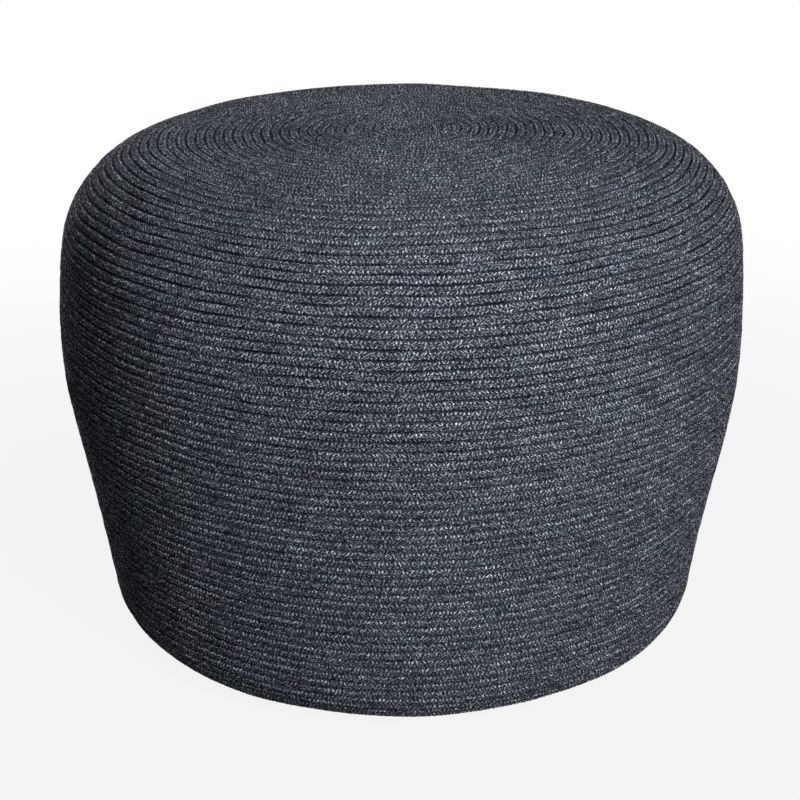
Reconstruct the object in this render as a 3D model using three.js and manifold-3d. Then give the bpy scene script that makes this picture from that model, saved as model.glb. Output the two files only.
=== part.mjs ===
// A round outdoor ottoman footstool. One braided cord is sewn in a spiral from the middle of the crown,
// over the shoulder and down the tapered side to the edge of the base. Inside are a lined foam core and a
// plastic base board. The cover comes off by a zip that runs round the underside. Millimetres, +Z up,
// origin on the floor under the middle.
import * as THREE from "three";
import { mergeVertices } from "three/addons/utils/BufferGeometryUtils.js";
import Module from "manifold-3d";

const wasm = await Module();
wasm.setup();

const DEGREE = Math.PI / 180;

// Driving dimensions of the outer form, measured over the cord's crests
const overallWidth = 540;
const bellyRadius = 430; // the long curve of the side through its widest place
const shoulderRadius = 88;
const crownRadius = 3600; // the shallow dome of the top
const taperLength = 153; // the straight part of the side, below the belly
const baseRadius = 43; // the rounded lower edge
const shoulderAngle = 81.5 * DEGREE; // angles here are of the outward normal from straight up
const taperAngle = 99.1 * DEGREE;
const foldAngle = 150 * DEGREE; // where the soft layers inside turn in towards the board
const hemAngle = 172 * DEGREE; // where the last turn of cord ends
const standHeight = 3; // the cord clears the floor by this much, on the feet

// The cord and the layers under it
const cordDiameter = 7;
const cordPitch = 7.2; // from turn to turn, the cord with its sewing
const grooveDepth = 2.2; // from crest to the seam between two turns
const fitGap = 0.3; // between pieces that touch
const linerThickness = 0.9;
const wrapThickness = 12;
const padThickness = 52; // the soft foam under the crown
const mouthRadius = 60; // of the liner, drawn in over the board
const drawCordRadius = 1.5;

// The zip round the underside
const tapeThickness = 0.7;
const tapeWidth = 12;
const tapeOverlap = 4; // of the outer tape on the cord's last turn
const tapeBite = 2; // of each tape's edge into its row of teeth
const chainThickness = 2.4;
const chainHalfWidth = 3.3; // one row of teeth
const chainParting = 1.4; // between the two rows, where the slider's neck runs
const zipStart = -60 * DEGREE; // from +X, with the fixed seam in the remaining part
const zipSweep = 300 * DEGREE;
const zipMargin = 4; // of tape beyond the stops
const stopLength = 3;
const stopThickness = 2.8;
const endPlay = 0.6; // between a stop and the teeth, or a stop and the slider

// The zip's slider and its pull
const sliderLength = 14;
const sliderWidth = 11.6;
const sliderPlate = 1.2;
const sliderHeadroom = 0.75; // to the liner above
const neckLength = 5;
const neckThickness = 0.6;
const flangeWidth = 1.1;
const flangeHeight = 0.75;
const bailLength = 9;
const bailWidth = 3;
const bailPost = 1.6;
const bailStrap = 1.2;
const pullBar = 1.4; // the pull's crossbar, which turns under the bail
const pullPlay = 0.35; // round that bar
const pullArm = 1.6;
const pullLength = 27;
const pullWidth = 8;
const pullThickness = 1.3;
const pullHoleRadius = 1.8;
const pullHoleInset = 4.5;

// The base board and what fixes to it
const boardThickness = 12;
const boardInset = 13; // from the middle of the zip to the board's edge
const rebatePlay = 3; // round the board, in the lined foam
const clothThickness = 0.8;
const clothInset = 7; // from the middle of the zip to the cloth's edge
const footCount = 5;
const footInset = 5; // from the inner zip tape to a foot
const footRadius = 16; // at the cloth
const soleRadius = 13.5; // at the floor
const soleEdge = 1.5;
const headRadius = 6;
const headHeight = 3.5;
const headRecess = 3.5; // how far above the floor the head sits
const headPlay = 0.8;
const socketRadius = 2.3;
const socketDepth = 2;
const washerRadius = 6.4;
const washerThickness = 1;
const screwRadius = 3;
const screwPlay = 0.4;
const screwSpare = 2; // between the screw's tip and the board's top
const barrelRadius = 4.6; // of the threaded insert
const barrelFoot = 2.5; // the board left under it
const insertFlangeRadius = 9;
const insertFlange = 1.5;
const drainCount = 4;
const drainCircleShare = 0.52; // of the board's radius
const drainRadius = 12;
const eyeletBore = 5;
const eyeletWall = 0.8;
const eyeletRim = 3.4;
const eyeletPlate = 0.5;

// How finely round things are drawn
const steps = 20; // round the body, the same for every nested layer
const zipSteps = 60;
const ringSteps = 40;
const footSteps = 14;
const smallSteps = 10;
const drawCordSides = 6;
const socketSides = 6;

const overrun = 5; // of a cutter past the face that it cuts
const widest = overallWidth / 2;

// The side's taper between its two ends, measured from the middle of the widest place
const taperTop = {
  r: widest - bellyRadius + bellyRadius * Math.sin(taperAngle),
  z: bellyRadius * Math.cos(taperAngle),
};
const taperFoot = {
  r: taperTop.r + taperLength * Math.cos(taperAngle),
  z: taperTop.z - taperLength * Math.sin(taperAngle),
};
const baseCentreRadius = taperFoot.r - baseRadius * Math.sin(taperAngle);
const baseCentreHeight = standHeight + baseRadius;
const widestHeight = baseCentreHeight - taperFoot.z + baseRadius * Math.cos(taperAngle);
const shoulderCentre = {
  r: widest - bellyRadius + (bellyRadius - shoulderRadius) * Math.sin(shoulderAngle),
  z: widestHeight + (bellyRadius - shoulderRadius) * Math.cos(shoulderAngle),
};
const crownAngle = Math.asin(shoulderCentre.r / (crownRadius - shoulderRadius));

// The outline's bends from the crown to the hem, with the straight taper between the belly and the turn-under
const crown = {
  r: 0,
  z: shoulderCentre.z - (crownRadius - shoulderRadius) * Math.cos(crownAngle),
  radius: crownRadius,
  from: 0,
  to: crownAngle,
  cuts: 2,
};
const shoulder = { ...shoulderCentre, radius: shoulderRadius, from: crownAngle, to: shoulderAngle, cuts: 4 };
const belly = {
  r: widest - bellyRadius,
  z: widestHeight,
  radius: bellyRadius,
  from: shoulderAngle,
  to: taperAngle,
  cuts: 2,
};
const lower = { r: baseCentreRadius, z: baseCentreHeight, radius: baseRadius };
const turnUnder = { ...lower, from: taperAngle, to: foldAngle, cuts: 3 };
const tuck = { ...lower, from: foldAngle, to: hemAngle, cuts: 2 };

const at = (r, z) => new THREE.Vector2(r, z);

// The point at a depth under a bend's surface, where the surface faces the given angle
function onBend(bend, angle, depth = 0) {
  const reach = bend.radius - depth;
  return at(bend.r + reach * Math.sin(angle), bend.z + reach * Math.cos(angle));
}

// The outline at one depth, from the middle of the crown down to the end of the last bend named
function outline(depth, bends = [crown, shoulder, belly, turnUnder]) {
  const points = [onBend(crown, 0, depth)];
  for (const bend of bends) {
    for (let i = bend === turnUnder ? 0 : 1; i <= bend.cuts; i++) {
      points.push(onBend(bend, THREE.MathUtils.lerp(bend.from, bend.to, i / bend.cuts), depth));
    }
  }
  return points;
}

// Where a distance along the outline, from the middle of the crown, leads at one depth
const bendLength = (bend) => bend.radius * (bend.to - bend.from);
const stretches = [
  { bend: crown, length: bendLength(crown) },
  { bend: shoulder, length: bendLength(shoulder) },
  { bend: belly, length: bendLength(belly) },
  { bend: null, length: taperLength },
  { bend: turnUnder, length: bendLength(turnUnder) },
  { bend: tuck, length: bendLength(tuck) },
];
const outlineLength = stretches.reduce((sum, stretch) => sum + stretch.length, 0);

function alongOutline(distance, depth) {
  let left = THREE.MathUtils.clamp(distance, 0, outlineLength);
  for (const { bend, length } of stretches) {
    if (left <= length || bend === tuck) {
      const share = Math.min(left / length, 1);
      return bend
        ? onBend(bend, THREE.MathUtils.lerp(bend.from, bend.to, share), depth)
        : onBend(belly, taperAngle, depth).lerp(onBend(turnUnder, taperAngle, depth), share);
    }
    left -= length;
  }
}

// The height of the cover's inner wall above a radius in the tuck, where the tapes are sewn on
const innerWall = outline(cordDiameter, [crown, shoulder, belly, turnUnder, tuck]);

function wallHeight(r) {
  const fold = innerWall.length - 1 - tuck.cuts;
  for (let i = innerWall.length - 1; i > fold; i--) {
    const [inner, outer] = [innerWall[i], innerWall[i - 1]];
    if (r <= outer.x || i - 1 === fold) {
      return THREE.MathUtils.mapLinear(r, inner.x, outer.x, inner.y, outer.y);
    }
  }
}

// Radii and heights on the underside, from the hem inwards and from the floor upwards
const hem = onBend(tuck, hemAngle);
const flatShare = Math.cos(Math.PI / steps); // how far out the flats of the nested layers lie
const zipRadius = hem.x - sliderWidth / 2 - tapeOverlap;
const chainInner = zipRadius - chainParting / 2 - chainHalfWidth;
const chainOuter = zipRadius + chainParting / 2 + chainHalfWidth;
const outerTape = { inner: chainOuter - tapeBite, outer: hem.x + tapeOverlap };
const innerTape = { inner: chainInner + tapeBite - tapeWidth, outer: chainInner + tapeBite };
const tapeBottom = wallHeight(outerTape.outer / flatShare) + fitGap;
const tapeTop = tapeBottom + tapeThickness;
const chainMiddle = tapeBottom + tapeThickness / 2;
const plateBottom = chainMiddle - chainThickness / 2 - fitGap - sliderPlate;
const plateTop = chainMiddle + chainThickness / 2 + fitGap + sliderPlate;
const linerFlat = plateTop + sliderHeadroom; // the liner's underside round the board
const clothBottom = tapeTop + fitGap;
const clothTop = clothBottom + clothThickness;
const clothRadius = zipRadius - clothInset;
const boardBottom = clothTop + fitGap;
const boardTop = boardBottom + boardThickness;
const boardRadius = zipRadius - boardInset;
const linerSeat = boardTop + fitGap; // the liner's underside over the board
const footTop = clothBottom - fitGap;
const footCircle = innerTape.inner - footInset - footRadius;
const washerBottom = headRecess + headHeight + fitGap;
const washerTop = washerBottom + washerThickness;
const drainCircle = boardRadius * drainCircleShare;
const eyeletTube = eyeletBore + eyeletWall;

// Angles along the zip
const arcOf = (length) => length / zipRadius;
const zipEnd = zipStart + zipSweep;
const topStopEnd = zipStart + arcOf(zipMargin + stopLength);
const bottomStopStart = zipEnd - arcOf(zipMargin + stopLength);
const sliderAngle = topStopEnd + arcOf(endPlay + sliderLength / 2);

// A three.js geometry as a closed solid that manifold-3d can cut and join
function solid(geometry) {
  const bare = geometry.clone();
  bare.deleteAttribute("normal");
  bare.deleteAttribute("uv");
  const merged = mergeVertices(bare);
  return new wasm.Manifold(
    new wasm.Mesh({
      numProp: 3,
      vertProperties: merged.attributes.position.array,
      triVerts: new Uint32Array(merged.index.array),
    }),
  );
}

function geometryOf(manifold) {
  const mesh = manifold.getMesh();
  const geometry = new THREE.BufferGeometry();
  geometry.setAttribute("position", new THREE.BufferAttribute(mesh.vertProperties, mesh.numProp));
  return geometry.setIndex(new THREE.BufferAttribute(mesh.triVerts, 1));
}

const joined = (...geometries) => geometryOf(geometries.map(solid).reduce((all, next) => all.add(next)));
const cut = (body, ...tools) =>
  geometryOf(tools.map(solid).reduce((left, tool) => left.subtract(tool), solid(body)));
const common = (a, b) => geometryOf(solid(a).intersect(solid(b)));

// A profile turned about Z. Its points keep the solid on their left, with Z up and the radius to the right.
function turned(points, segments) {
  const onAxis = points[0].x === 0;
  return new THREE.LatheGeometry(onAxis ? points : [...points, points[0]], segments).rotateX(Math.PI / 2);
}

// A plate lying flat, from one height up to another
function plate(shape, bottom, top, curveSegments) {
  const options = { depth: top - bottom, bevelEnabled: false, curveSegments };
  return new THREE.ExtrudeGeometry(shape, options).translate(0, 0, bottom);
}

function rod(radius, bottom, top, segments) {
  return turned([at(0, bottom), at(radius, bottom), at(radius, top), at(0, top)], segments);
}

function block(width, length, bottom, top, x = 0, y = 0) {
  return new THREE.BoxGeometry(width, length, top - bottom).translate(x, y, (bottom + top) / 2);
}

// A plate along part of the zip's circle. An arc is drawn with two steps for each of its curve segments.
function sector({ inner, outer }, bottom, top, from, to) {
  const shape = new THREE.Shape().absarc(0, 0, outer, from, to, false).absarc(0, 0, inner, to, from, true);
  return plate(shape, bottom, top, Math.ceil(((to - from) / (4 * Math.PI)) * zipSteps));
}

// Places spread evenly on a circle, each with its own X pointing outwards
function around(count, radius, turn = 0) {
  return Array.from({ length: count }, (_, i) =>
    new THREE.Matrix4()
      .makeRotationZ(turn + (2 * Math.PI * i) / count)
      .multiply(new THREE.Matrix4().makeTranslation(radius, 0, 0)),
  );
}

const footPlaces = around(footCount, footCircle, Math.PI / 2);
const drainPlaces = around(drainCount, drainCircle, Math.PI / drainCount);
const copies = (places, geometry) => places.map((place) => geometry.clone().applyMatrix4(place));

const matt = (color, roughness = 0.9) => new THREE.MeshStandardMaterial({ color, roughness, metalness: 0 });
const metal = (color, roughness) => new THREE.MeshStandardMaterial({ color, roughness, metalness: 1 });
const materials = {
  cord: matt(0x4d5159),
  liner: matt(0xb9bcbc, 0.6),
  wadding: matt(0xe9e7e0),
  softFoam: matt(0xe6dcc0),
  firmFoam: matt(0x9aa6ad),
  board: matt(0x2b2c2e, 0.55),
  cloth: matt(0x232427),
  tape: matt(0x1d1e21),
  teeth: matt(0x26282c, 0.45),
  zinc: metal(0x3a3b3d, 0.4),
  rubber: matt(0x18191a, 0.7),
  steel: metal(0xb8b9ba, 0.35),
};

const ottoman = new THREE.Group();

function add(name, geometry, material, place = new THREE.Matrix4()) {
  const mesh = new THREE.Mesh(geometry, material);
  mesh.name = name;
  mesh.applyMatrix4(place);
  ottoman.add(mesh);
}

// The sewn cord as one shell. Its crest runs in one unbroken spiral from the crown to the hem, and the
// groove on each side of it is the seam to the next turn. The inside is plain.
function cordCover() {
  const corners = [];
  const turnCount = Math.ceil(outlineLength / cordPitch + 1 / 2);
  const spot = (p, i) => {
    const angle = (2 * Math.PI * (i % steps)) / steps;
    return [p.x * Math.cos(angle), p.x * Math.sin(angle), p.y];
  };
  const run = (i) => (cordPitch * i) / steps; // along the outline, after i steps of the spiral
  const seam = (i) => spot(alongOutline(run(i) - cordPitch / 2, grooveDepth), i);
  const crest = (i) => spot(alongOutline(run(i), run(i) < outlineLength ? 0 : grooveDepth), i);
  for (let i = 0; i < turnCount * steps; i++) {
    corners.push(...seam(i), ...crest(i), ...crest(i + 1));
    corners.push(...seam(i), ...crest(i + 1), ...seam(i + 1));
    corners.push(...crest(i), ...seam(i + steps), ...seam(i + 1 + steps));
    corners.push(...crest(i), ...seam(i + 1 + steps), ...crest(i + 1));
  }
  for (let i = steps / 2; i < steps; i++) {
    corners.push(...seam(0), ...seam(i), ...seam(i + 1));
  }
  corners.push(...seam(0), ...seam(steps), ...crest(0));
  const wall = [alongOutline(outlineLength, grooveDepth), ...innerWall.toReversed()];
  for (let j = 0; j + 1 < wall.length; j++) {
    for (let i = 0; i < steps; i++) {
      corners.push(...spot(wall[j], i), ...spot(wall[j + 1], i + 1), ...spot(wall[j], i + 1));
      corners.push(...spot(wall[j], i), ...spot(wall[j + 1], i), ...spot(wall[j + 1], i + 1));
    }
  }
  measureTurns(turnCount, crest);
  return closed(corners);
}

// The least distance between the crests of neighbouring turns, measured on their points
function measureTurns(turnCount, crest) {
  let least = Infinity;
  for (let i = 0; i < (turnCount - 2) * steps; i++) {
    const here = new THREE.Vector3(...crest(i));
    least = Math.min(least, here.distanceTo(new THREE.Vector3(...crest(i + steps))));
  }
  console.log(`${turnCount} turns of cord, crests at least ${least.toFixed(2)} mm apart`);
}

// Loose corners as one closed mesh, in which corners at one place are one and triangles without area
// are left out
function closed(corners) {
  const loose = new THREE.BufferGeometry();
  loose.setAttribute("position", new THREE.Float32BufferAttribute(corners, 3));
  const merged = mergeVertices(loose);
  const index = [];
  for (let i = 0; i < merged.index.count; i += 3) {
    const [a, b, c] = [0, 1, 2].map((k) => merged.index.getX(i + k));
    if (a !== b && b !== c && c !== a) {
      index.push(a, b, c);
    }
  }
  return merged.setIndex(index);
}

// Where a soft layer ends below the fold: in by the outer tape's edge, down to the flat round the board,
// and up into the rebate that takes the board
function underside(rise, edge) {
  return [
    at(edge, linerSeat + rise),
    at(boardRadius + rebatePlay + rise, linerSeat + rise),
    at(boardRadius + rebatePlay + rise, linerFlat + rise),
    at(outerTape.outer, linerFlat + rise),
  ];
}

// The water-repellent bag round the foam, with its mouth drawn in over the board
function liner() {
  const outerDepth = cordDiameter + fitGap;
  const outer = [...underside(0, mouthRadius), ...outline(outerDepth).reverse()];
  const innerDepth = outerDepth + linerThickness;
  const inner = [...underside(linerThickness, mouthRadius), ...outline(innerDepth).reverse()];
  return turned([...inner.reverse(), ...outer], steps);
}

function drawCord() {
  const radius = mouthRadius - fitGap - drawCordRadius;
  const ring = new THREE.TorusGeometry(radius, drawCordRadius, drawCordSides, steps);
  return ring.translate(0, 0, linerSeat + drawCordRadius);
}

const wrapDepth = cordDiameter + linerThickness + 2 * fitGap;
const foamDepth = wrapDepth + wrapThickness + fitGap;

// The wadding laid over the foam, open below
function wadding() {
  return turned([...outline(foamDepth - fitGap), ...outline(wrapDepth).reverse()], steps);
}

// The foam is cut from one outline into a firm core and a soft pad under the crown
const foamRise = linerThickness + fitGap;
const foamTop = onBend(crown, 0, foamDepth).y;
const padBottom = foamTop - padThickness;

function foam(bottom, top) {
  const recess = linerSeat + 2 * drawCordRadius + fitGap;
  const profile = [
    at(0, recess),
    at(mouthRadius, recess),
    ...underside(foamRise, mouthRadius),
    ...outline(foamDepth).reverse(),
  ];
  return common(turned(profile, steps), rod(overallWidth, bottom, top, smallSteps));
}

function baseBoard() {
  const low = boardBottom - overrun;
  const holes = copies(footPlaces, rod(screwRadius + screwPlay, low, boardTop, smallSteps));
  const barrelSeat = boardBottom + barrelFoot;
  const barrels = copies(footPlaces, rod(barrelRadius + fitGap, barrelSeat, boardTop, smallSteps));
  const flangeSeat = boardTop - insertFlange - 2 * fitGap;
  const flanges = copies(
    footPlaces,
    rod(insertFlangeRadius + fitGap, flangeSeat, boardTop + overrun, footSteps),
  );
  const drains = copies(drainPlaces, rod(drainRadius, low, boardTop + overrun, footSteps));
  return cut(rod(boardRadius, boardBottom, boardTop, ringSteps), ...holes, ...barrels, ...flanges, ...drains);
}

function baseCloth() {
  const [low, high] = [clothBottom - overrun, clothTop + overrun];
  const holes = copies(footPlaces, rod(screwRadius + screwPlay, low, high, smallSteps));
  const drains = copies(drainPlaces, rod(eyeletTube + fitGap, low, high, footSteps));
  return cut(rod(clothRadius, clothBottom, clothTop, ringSteps), ...holes, ...drains);
}

function eyelet() {
  const [low, high] = [clothBottom - fitGap, clothTop + fitGap];
  const rim = eyeletTube + eyeletRim;
  const profile = [
    at(eyeletBore, low - eyeletPlate),
    at(rim, low - eyeletPlate),
    at(rim, low),
    at(eyeletTube, low),
    at(eyeletTube, high),
    at(rim, high),
    at(rim, high + eyeletPlate),
    at(eyeletBore, high + eyeletPlate),
  ];
  return turned(profile, footSteps);
}

function foot() {
  const bore = screwRadius + screwPlay;
  const recess = washerRadius + headPlay;
  const seat = washerTop + fitGap;
  const profile = [
    at(recess, 0),
    at(soleRadius - soleEdge, 0),
    at(soleRadius, soleEdge),
    at(footRadius, footTop),
    at(bore, footTop),
    at(bore, seat),
    at(recess, seat),
  ];
  return turned(profile, footSteps);
}

function washer() {
  const bore = screwRadius + screwPlay;
  const profile = [
    at(bore, washerBottom),
    at(washerRadius, washerBottom),
    at(washerRadius, washerTop),
    at(bore, washerTop),
  ];
  return turned(profile, smallSteps);
}

function screw() {
  const head = headRecess + headHeight;
  const profile = [
    at(0, headRecess),
    at(headRadius, headRecess),
    at(headRadius, head),
    at(screwRadius, head),
    at(screwRadius, boardTop - screwSpare),
    at(0, boardTop - screwSpare),
  ];
  return cut(
    turned(profile, smallSteps),
    rod(socketRadius, headRecess - overrun, headRecess + socketDepth, socketSides),
  );
}

function insert() {
  const bore = screwRadius + fitGap;
  const top = boardTop - fitGap;
  const profile = [
    at(bore, boardBottom + barrelFoot + fitGap),
    at(barrelRadius, boardBottom + barrelFoot + fitGap),
    at(barrelRadius, top - insertFlange),
    at(insertFlangeRadius, top - insertFlange),
    at(insertFlangeRadius, top),
    at(bore, top),
  ];
  return turned(profile, smallSteps);
}

// One row of the zip's teeth, or a stop beside it, gripping the tape's edge in a groove
function gripping(row, tape, thickness, from, to) {
  const margin = arcOf(overrun);
  const groove = { inner: tape.inner - fitGap, outer: tape.outer + fitGap };
  return cut(
    sector(row, chainMiddle - thickness / 2, chainMiddle + thickness / 2, from, to),
    sector(groove, tapeBottom - fitGap, tapeTop + fitGap, from - margin, to + margin),
  );
}

const outerRow = { inner: zipRadius + chainParting / 2, outer: chainOuter };
const innerRow = { inner: chainInner, outer: zipRadius - chainParting / 2 };

function bottomStop() {
  const margin = arcOf(overrun);
  const [from, to] = [bottomStopStart, bottomStopStart + arcOf(stopLength)];
  const [low, high] = [chainMiddle - stopThickness / 2, chainMiddle + stopThickness / 2];
  const grooves = [outerTape, innerTape].map(({ inner, outer }) =>
    sector(
      { inner: inner - fitGap, outer: outer + fitGap },
      tapeBottom - fitGap,
      tapeTop + fitGap,
      from - margin,
      to + margin,
    ),
  );
  return cut(sector({ inner: chainInner, outer: chainOuter }, low, high, from, to), ...grooves);
}

// The slider's own frame is at its middle on the zip's circle, with X outwards and Y along the zip towards
// its opening
const bailBottom = plateBottom - pullBar - 2 * pullPlay - bailStrap;
const hingeHeight = plateBottom - pullPlay - pullBar / 2;

function slider() {
  const lowerTop = plateBottom + sliderPlate;
  const upperBottom = plateTop - sliderPlate;
  const flangeX = (sliderWidth - flangeWidth) / 2;
  const postY = (bailLength - bailPost) / 2;
  const pieces = [
    block(sliderWidth, sliderLength, plateBottom, lowerTop),
    block(sliderWidth, sliderLength, upperBottom, plateTop),
    block(neckThickness, neckLength, plateBottom, plateTop, 0, (neckLength - sliderLength) / 2),
    block(bailWidth, bailLength, bailBottom, bailBottom + bailStrap),
  ];
  for (const side of [-1, 1]) {
    pieces.push(block(flangeWidth, sliderLength, plateBottom, lowerTop + flangeHeight, side * flangeX));
    pieces.push(block(flangeWidth, sliderLength, upperBottom - flangeHeight, plateTop, side * flangeX));
    pieces.push(block(bailWidth, bailPost, bailBottom, lowerTop, 0, side * postY));
  }
  return joined(...pieces);
}

// The pull, in a frame on its crossbar, with Y along the tab
function pull() {
  const reach = Math.hypot(bailLength / 2, hingeHeight - bailBottom) + pullPlay; // clears the bail all round
  const half = pullThickness / 2;
  const tab = pullLength - reach;
  const barRadius = pullBar / 2;
  const bar = new THREE.CylinderGeometry(barRadius, barRadius, pullWidth, smallSteps).rotateZ(Math.PI / 2);
  const arms = [-1, 1].map((side) =>
    block(pullArm, reach + half, -half, half, (side * (pullWidth - pullArm)) / 2, reach / 2),
  );
  const plateShape = new THREE.Shape()
    .moveTo(-pullWidth / 2, reach)
    .lineTo(pullWidth / 2, reach)
    .lineTo(pullWidth / 2, reach + tab - pullWidth / 2)
    .absarc(0, reach + tab - pullWidth / 2, pullWidth / 2, 0, Math.PI, false);
  const hole = rod(pullHoleRadius, -overrun, overrun, smallSteps).translate(0, pullLength - pullHoleInset, 0);
  return cut(joined(bar, ...arms, plate(plateShape, -half, half, smallSteps / 2)), hole);
}

const sliderPlace = new THREE.Matrix4()
  .makeRotationZ(sliderAngle)
  .multiply(new THREE.Matrix4().makeTranslation(zipRadius, 0, 0));

// At rest the pull hangs from the bail until its end is just over the floor
const pullDroop = Math.asin((hingeHeight - fitGap - pullThickness / 2) / pullLength);
const pullPlace = sliderPlace
  .clone()
  .multiply(new THREE.Matrix4().makeTranslation(0, 0, hingeHeight))
  .multiply(new THREE.Matrix4().makeRotationX(-pullDroop));

add("cord_cover", cordCover(), materials.cord);
add("liner_bag", liner(), materials.liner);
add("liner_draw_cord", drawCord(), materials.tape);
add("wadding_wrap", wadding(), materials.wadding);
add("comfort_pad", foam(padBottom, foamTop + overrun), materials.softFoam);
add("foam_core", foam(0, padBottom - fitGap), materials.firmFoam);
add("base_board", baseBoard(), materials.board);
add("base_cloth", baseCloth(), materials.cloth);
drainPlaces.forEach((place, i) => add(`drain_eyelet_${i + 1}`, eyelet(), materials.zinc, place));
footPlaces.forEach((place, i) => {
  add(`foot_${i + 1}`, foot(), materials.rubber, place);
  add(`foot_washer_${i + 1}`, washer(), materials.steel, place);
  add(`foot_screw_${i + 1}`, screw(), materials.steel, place);
  add(`threaded_insert_${i + 1}`, insert(), materials.steel, place);
});
add("zip_tape_outer", sector(outerTape, tapeBottom, tapeTop, zipStart, zipEnd), materials.tape);
add("zip_tape_inner", sector(innerTape, tapeBottom, tapeTop, zipStart, zipEnd), materials.tape);
add(
  "seam_band",
  sector(
    { inner: innerTape.inner, outer: outerTape.outer },
    tapeBottom,
    tapeTop,
    zipEnd + arcOf(fitGap),
    zipStart + 2 * Math.PI - arcOf(fitGap),
  ),
  materials.tape,
);
for (const [side, row, tape] of [
  ["outer", outerRow, outerTape],
  ["inner", innerRow, innerTape],
]) {
  const teethStart = topStopEnd + arcOf(endPlay);
  const teethEnd = bottomStopStart - arcOf(endPlay);
  add(`zip_teeth_${side}`, gripping(row, tape, chainThickness, teethStart, teethEnd), materials.teeth);
  add(
    `zip_top_stop_${side}`,
    gripping(row, tape, stopThickness, topStopEnd - arcOf(stopLength), topStopEnd),
    materials.zinc,
  );
}
add("zip_bottom_stop", bottomStop(), materials.zinc);
add("zip_slider", slider(), materials.zinc, sliderPlace);
add("zip_pull", pull(), materials.zinc, pullPlace);

export default ottoman;
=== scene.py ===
"""The looks of a round outdoor ottoman footstool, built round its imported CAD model.

One braided cord is sewn in a spiral from the middle of the crown to the hem under the base. Everything is in
metres, in the CAD model's frame: +Z up, origin on the floor under the middle. The front faces -Y.
"""

import math

import bmesh
import bpy
import numpy as np
from mathutils import Matrix, Vector


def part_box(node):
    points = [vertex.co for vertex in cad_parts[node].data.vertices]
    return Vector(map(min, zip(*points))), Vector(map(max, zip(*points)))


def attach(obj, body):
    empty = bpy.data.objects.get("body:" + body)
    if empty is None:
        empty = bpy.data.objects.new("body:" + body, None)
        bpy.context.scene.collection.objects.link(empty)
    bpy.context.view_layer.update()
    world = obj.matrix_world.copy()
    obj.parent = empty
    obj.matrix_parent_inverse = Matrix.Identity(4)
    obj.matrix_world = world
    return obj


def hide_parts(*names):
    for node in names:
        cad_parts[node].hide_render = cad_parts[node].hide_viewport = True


MM = 0.001
TURN = 2 * math.pi

# The outer form over the cord's crests, as in the CAD source. Angles are of the outward normal from +Z.
OVERALL_WIDTH = 540 * MM
BELLY_RADIUS = 430 * MM
SHOULDER_RADIUS = 88 * MM
CROWN_RADIUS = 3600 * MM
TAPER_LENGTH = 153 * MM
BASE_RADIUS = 43 * MM
SHOULDER_ANGLE = math.radians(81.5)
TAPER_ANGLE = math.radians(99.1)
FOLD_ANGLE = math.radians(150)
HEM_ANGLE = math.radians(172)
STAND_HEIGHT = 3 * MM

# The cord and the layers under it
CORD_DIAMETER = 7 * MM
CORD_PITCH = 7.2 * MM
FIT_GAP = 0.3 * MM
LINER_THICKNESS = 0.9 * MM
WRAP_THICKNESS = 12 * MM
MOUTH_RADIUS = 60 * MM
DRAW_CORD_RADIUS = 1.5 * MM

# The foam's board, the cloth under it, and the feet
BOARD_INSET = 13 * MM  # from the middle of the zip
REBATE_PLAY = 3 * MM
CLOTH_INSET = 7 * MM  # from the middle of the zip
FOOT_COUNT = 5
FOOT_INSET = 5 * MM
FOOT_RADIUS = 16 * MM
SOLE_RADIUS = 13.5 * MM
SOLE_EDGE = 1.5 * MM
HEAD_RADIUS = 6 * MM
HEAD_HEIGHT = 3.5 * MM
HEAD_PLAY = 0.8 * MM
SOCKET_RADIUS = 2.3 * MM
SOCKET_DEPTH = 2 * MM
WASHER_RADIUS = 6.4 * MM
SCREW_RADIUS = 3 * MM
SCREW_PLAY = 0.4 * MM
THREAD_PITCH = 1 * MM
THREAD_DEPTH = 0.45 * MM
BARREL_RADIUS = 4.6 * MM
INSERT_FLANGE_RADIUS = 9 * MM
INSERT_FLANGE = 1.5 * MM
DRAIN_COUNT = 4
DRAIN_CIRCLE_SHARE = 0.52  # of the board's radius
EYELET_BORE = 5 * MM
EYELET_TUBE = 5.8 * MM
EYELET_RIM = 3.4 * MM
EYELET_CREST_SHARE = 0.45  # of the rim, where it starts to slope
EYELET_PLATE = 0.5 * MM

# The zip
TAPE_WIDTH = 12 * MM
TAPE_OVERLAP = 4 * MM
TAPE_BITE = 2 * MM
TAPE_EDGE = 0.25 * MM
CHAIN_THICKNESS = 2.4 * MM
CHAIN_HALF_WIDTH = 3.3 * MM
CHAIN_PARTING = 1.4 * MM
TOOTH_PITCH = 3 * MM
TOOTH_WIDTHS = (2.1 * MM, 1.3 * MM, 2.2 * MM)  # along the zip, of a tooth's head, waist and foot
ZIP_START = math.radians(-60)
ZIP_END = math.radians(240)
ZIP_MARGIN = 4 * MM
STOP_LENGTH = 3 * MM
END_PLAY = 0.6 * MM
SLIDER_LENGTH = 14 * MM
SLIDER_WIDTH = 11.6 * MM
SLIDER_PLATE = 1.2 * MM
SLIDER_HEIGHT = CHAIN_THICKNESS + 2 * (FIT_GAP + SLIDER_PLATE)
SLIDER_HEADROOM = 0.75 * MM
NECK_LENGTH = 5 * MM
NECK_THICKNESS = 0.6 * MM
FLANGE_WIDTH = 1.1 * MM
FLANGE_HEIGHT = 0.75 * MM
BAIL_LENGTH = 9 * MM
BAIL_WIDTH = 3 * MM
BAIL_POST = 1.6 * MM
BAIL_STRAP = 1.2 * MM
PULL_BAR = 1.4 * MM
PULL_PLAY = 0.35 * MM
PULL_ARM = 1.6 * MM
PULL_LENGTH = 27 * MM
PULL_WIDTH = 8 * MM
PULL_THICKNESS = 1.3 * MM
PULL_HOLE_RADIUS = 1.8 * MM
PULL_HOLE_INSET = 4.5 * MM
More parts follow.
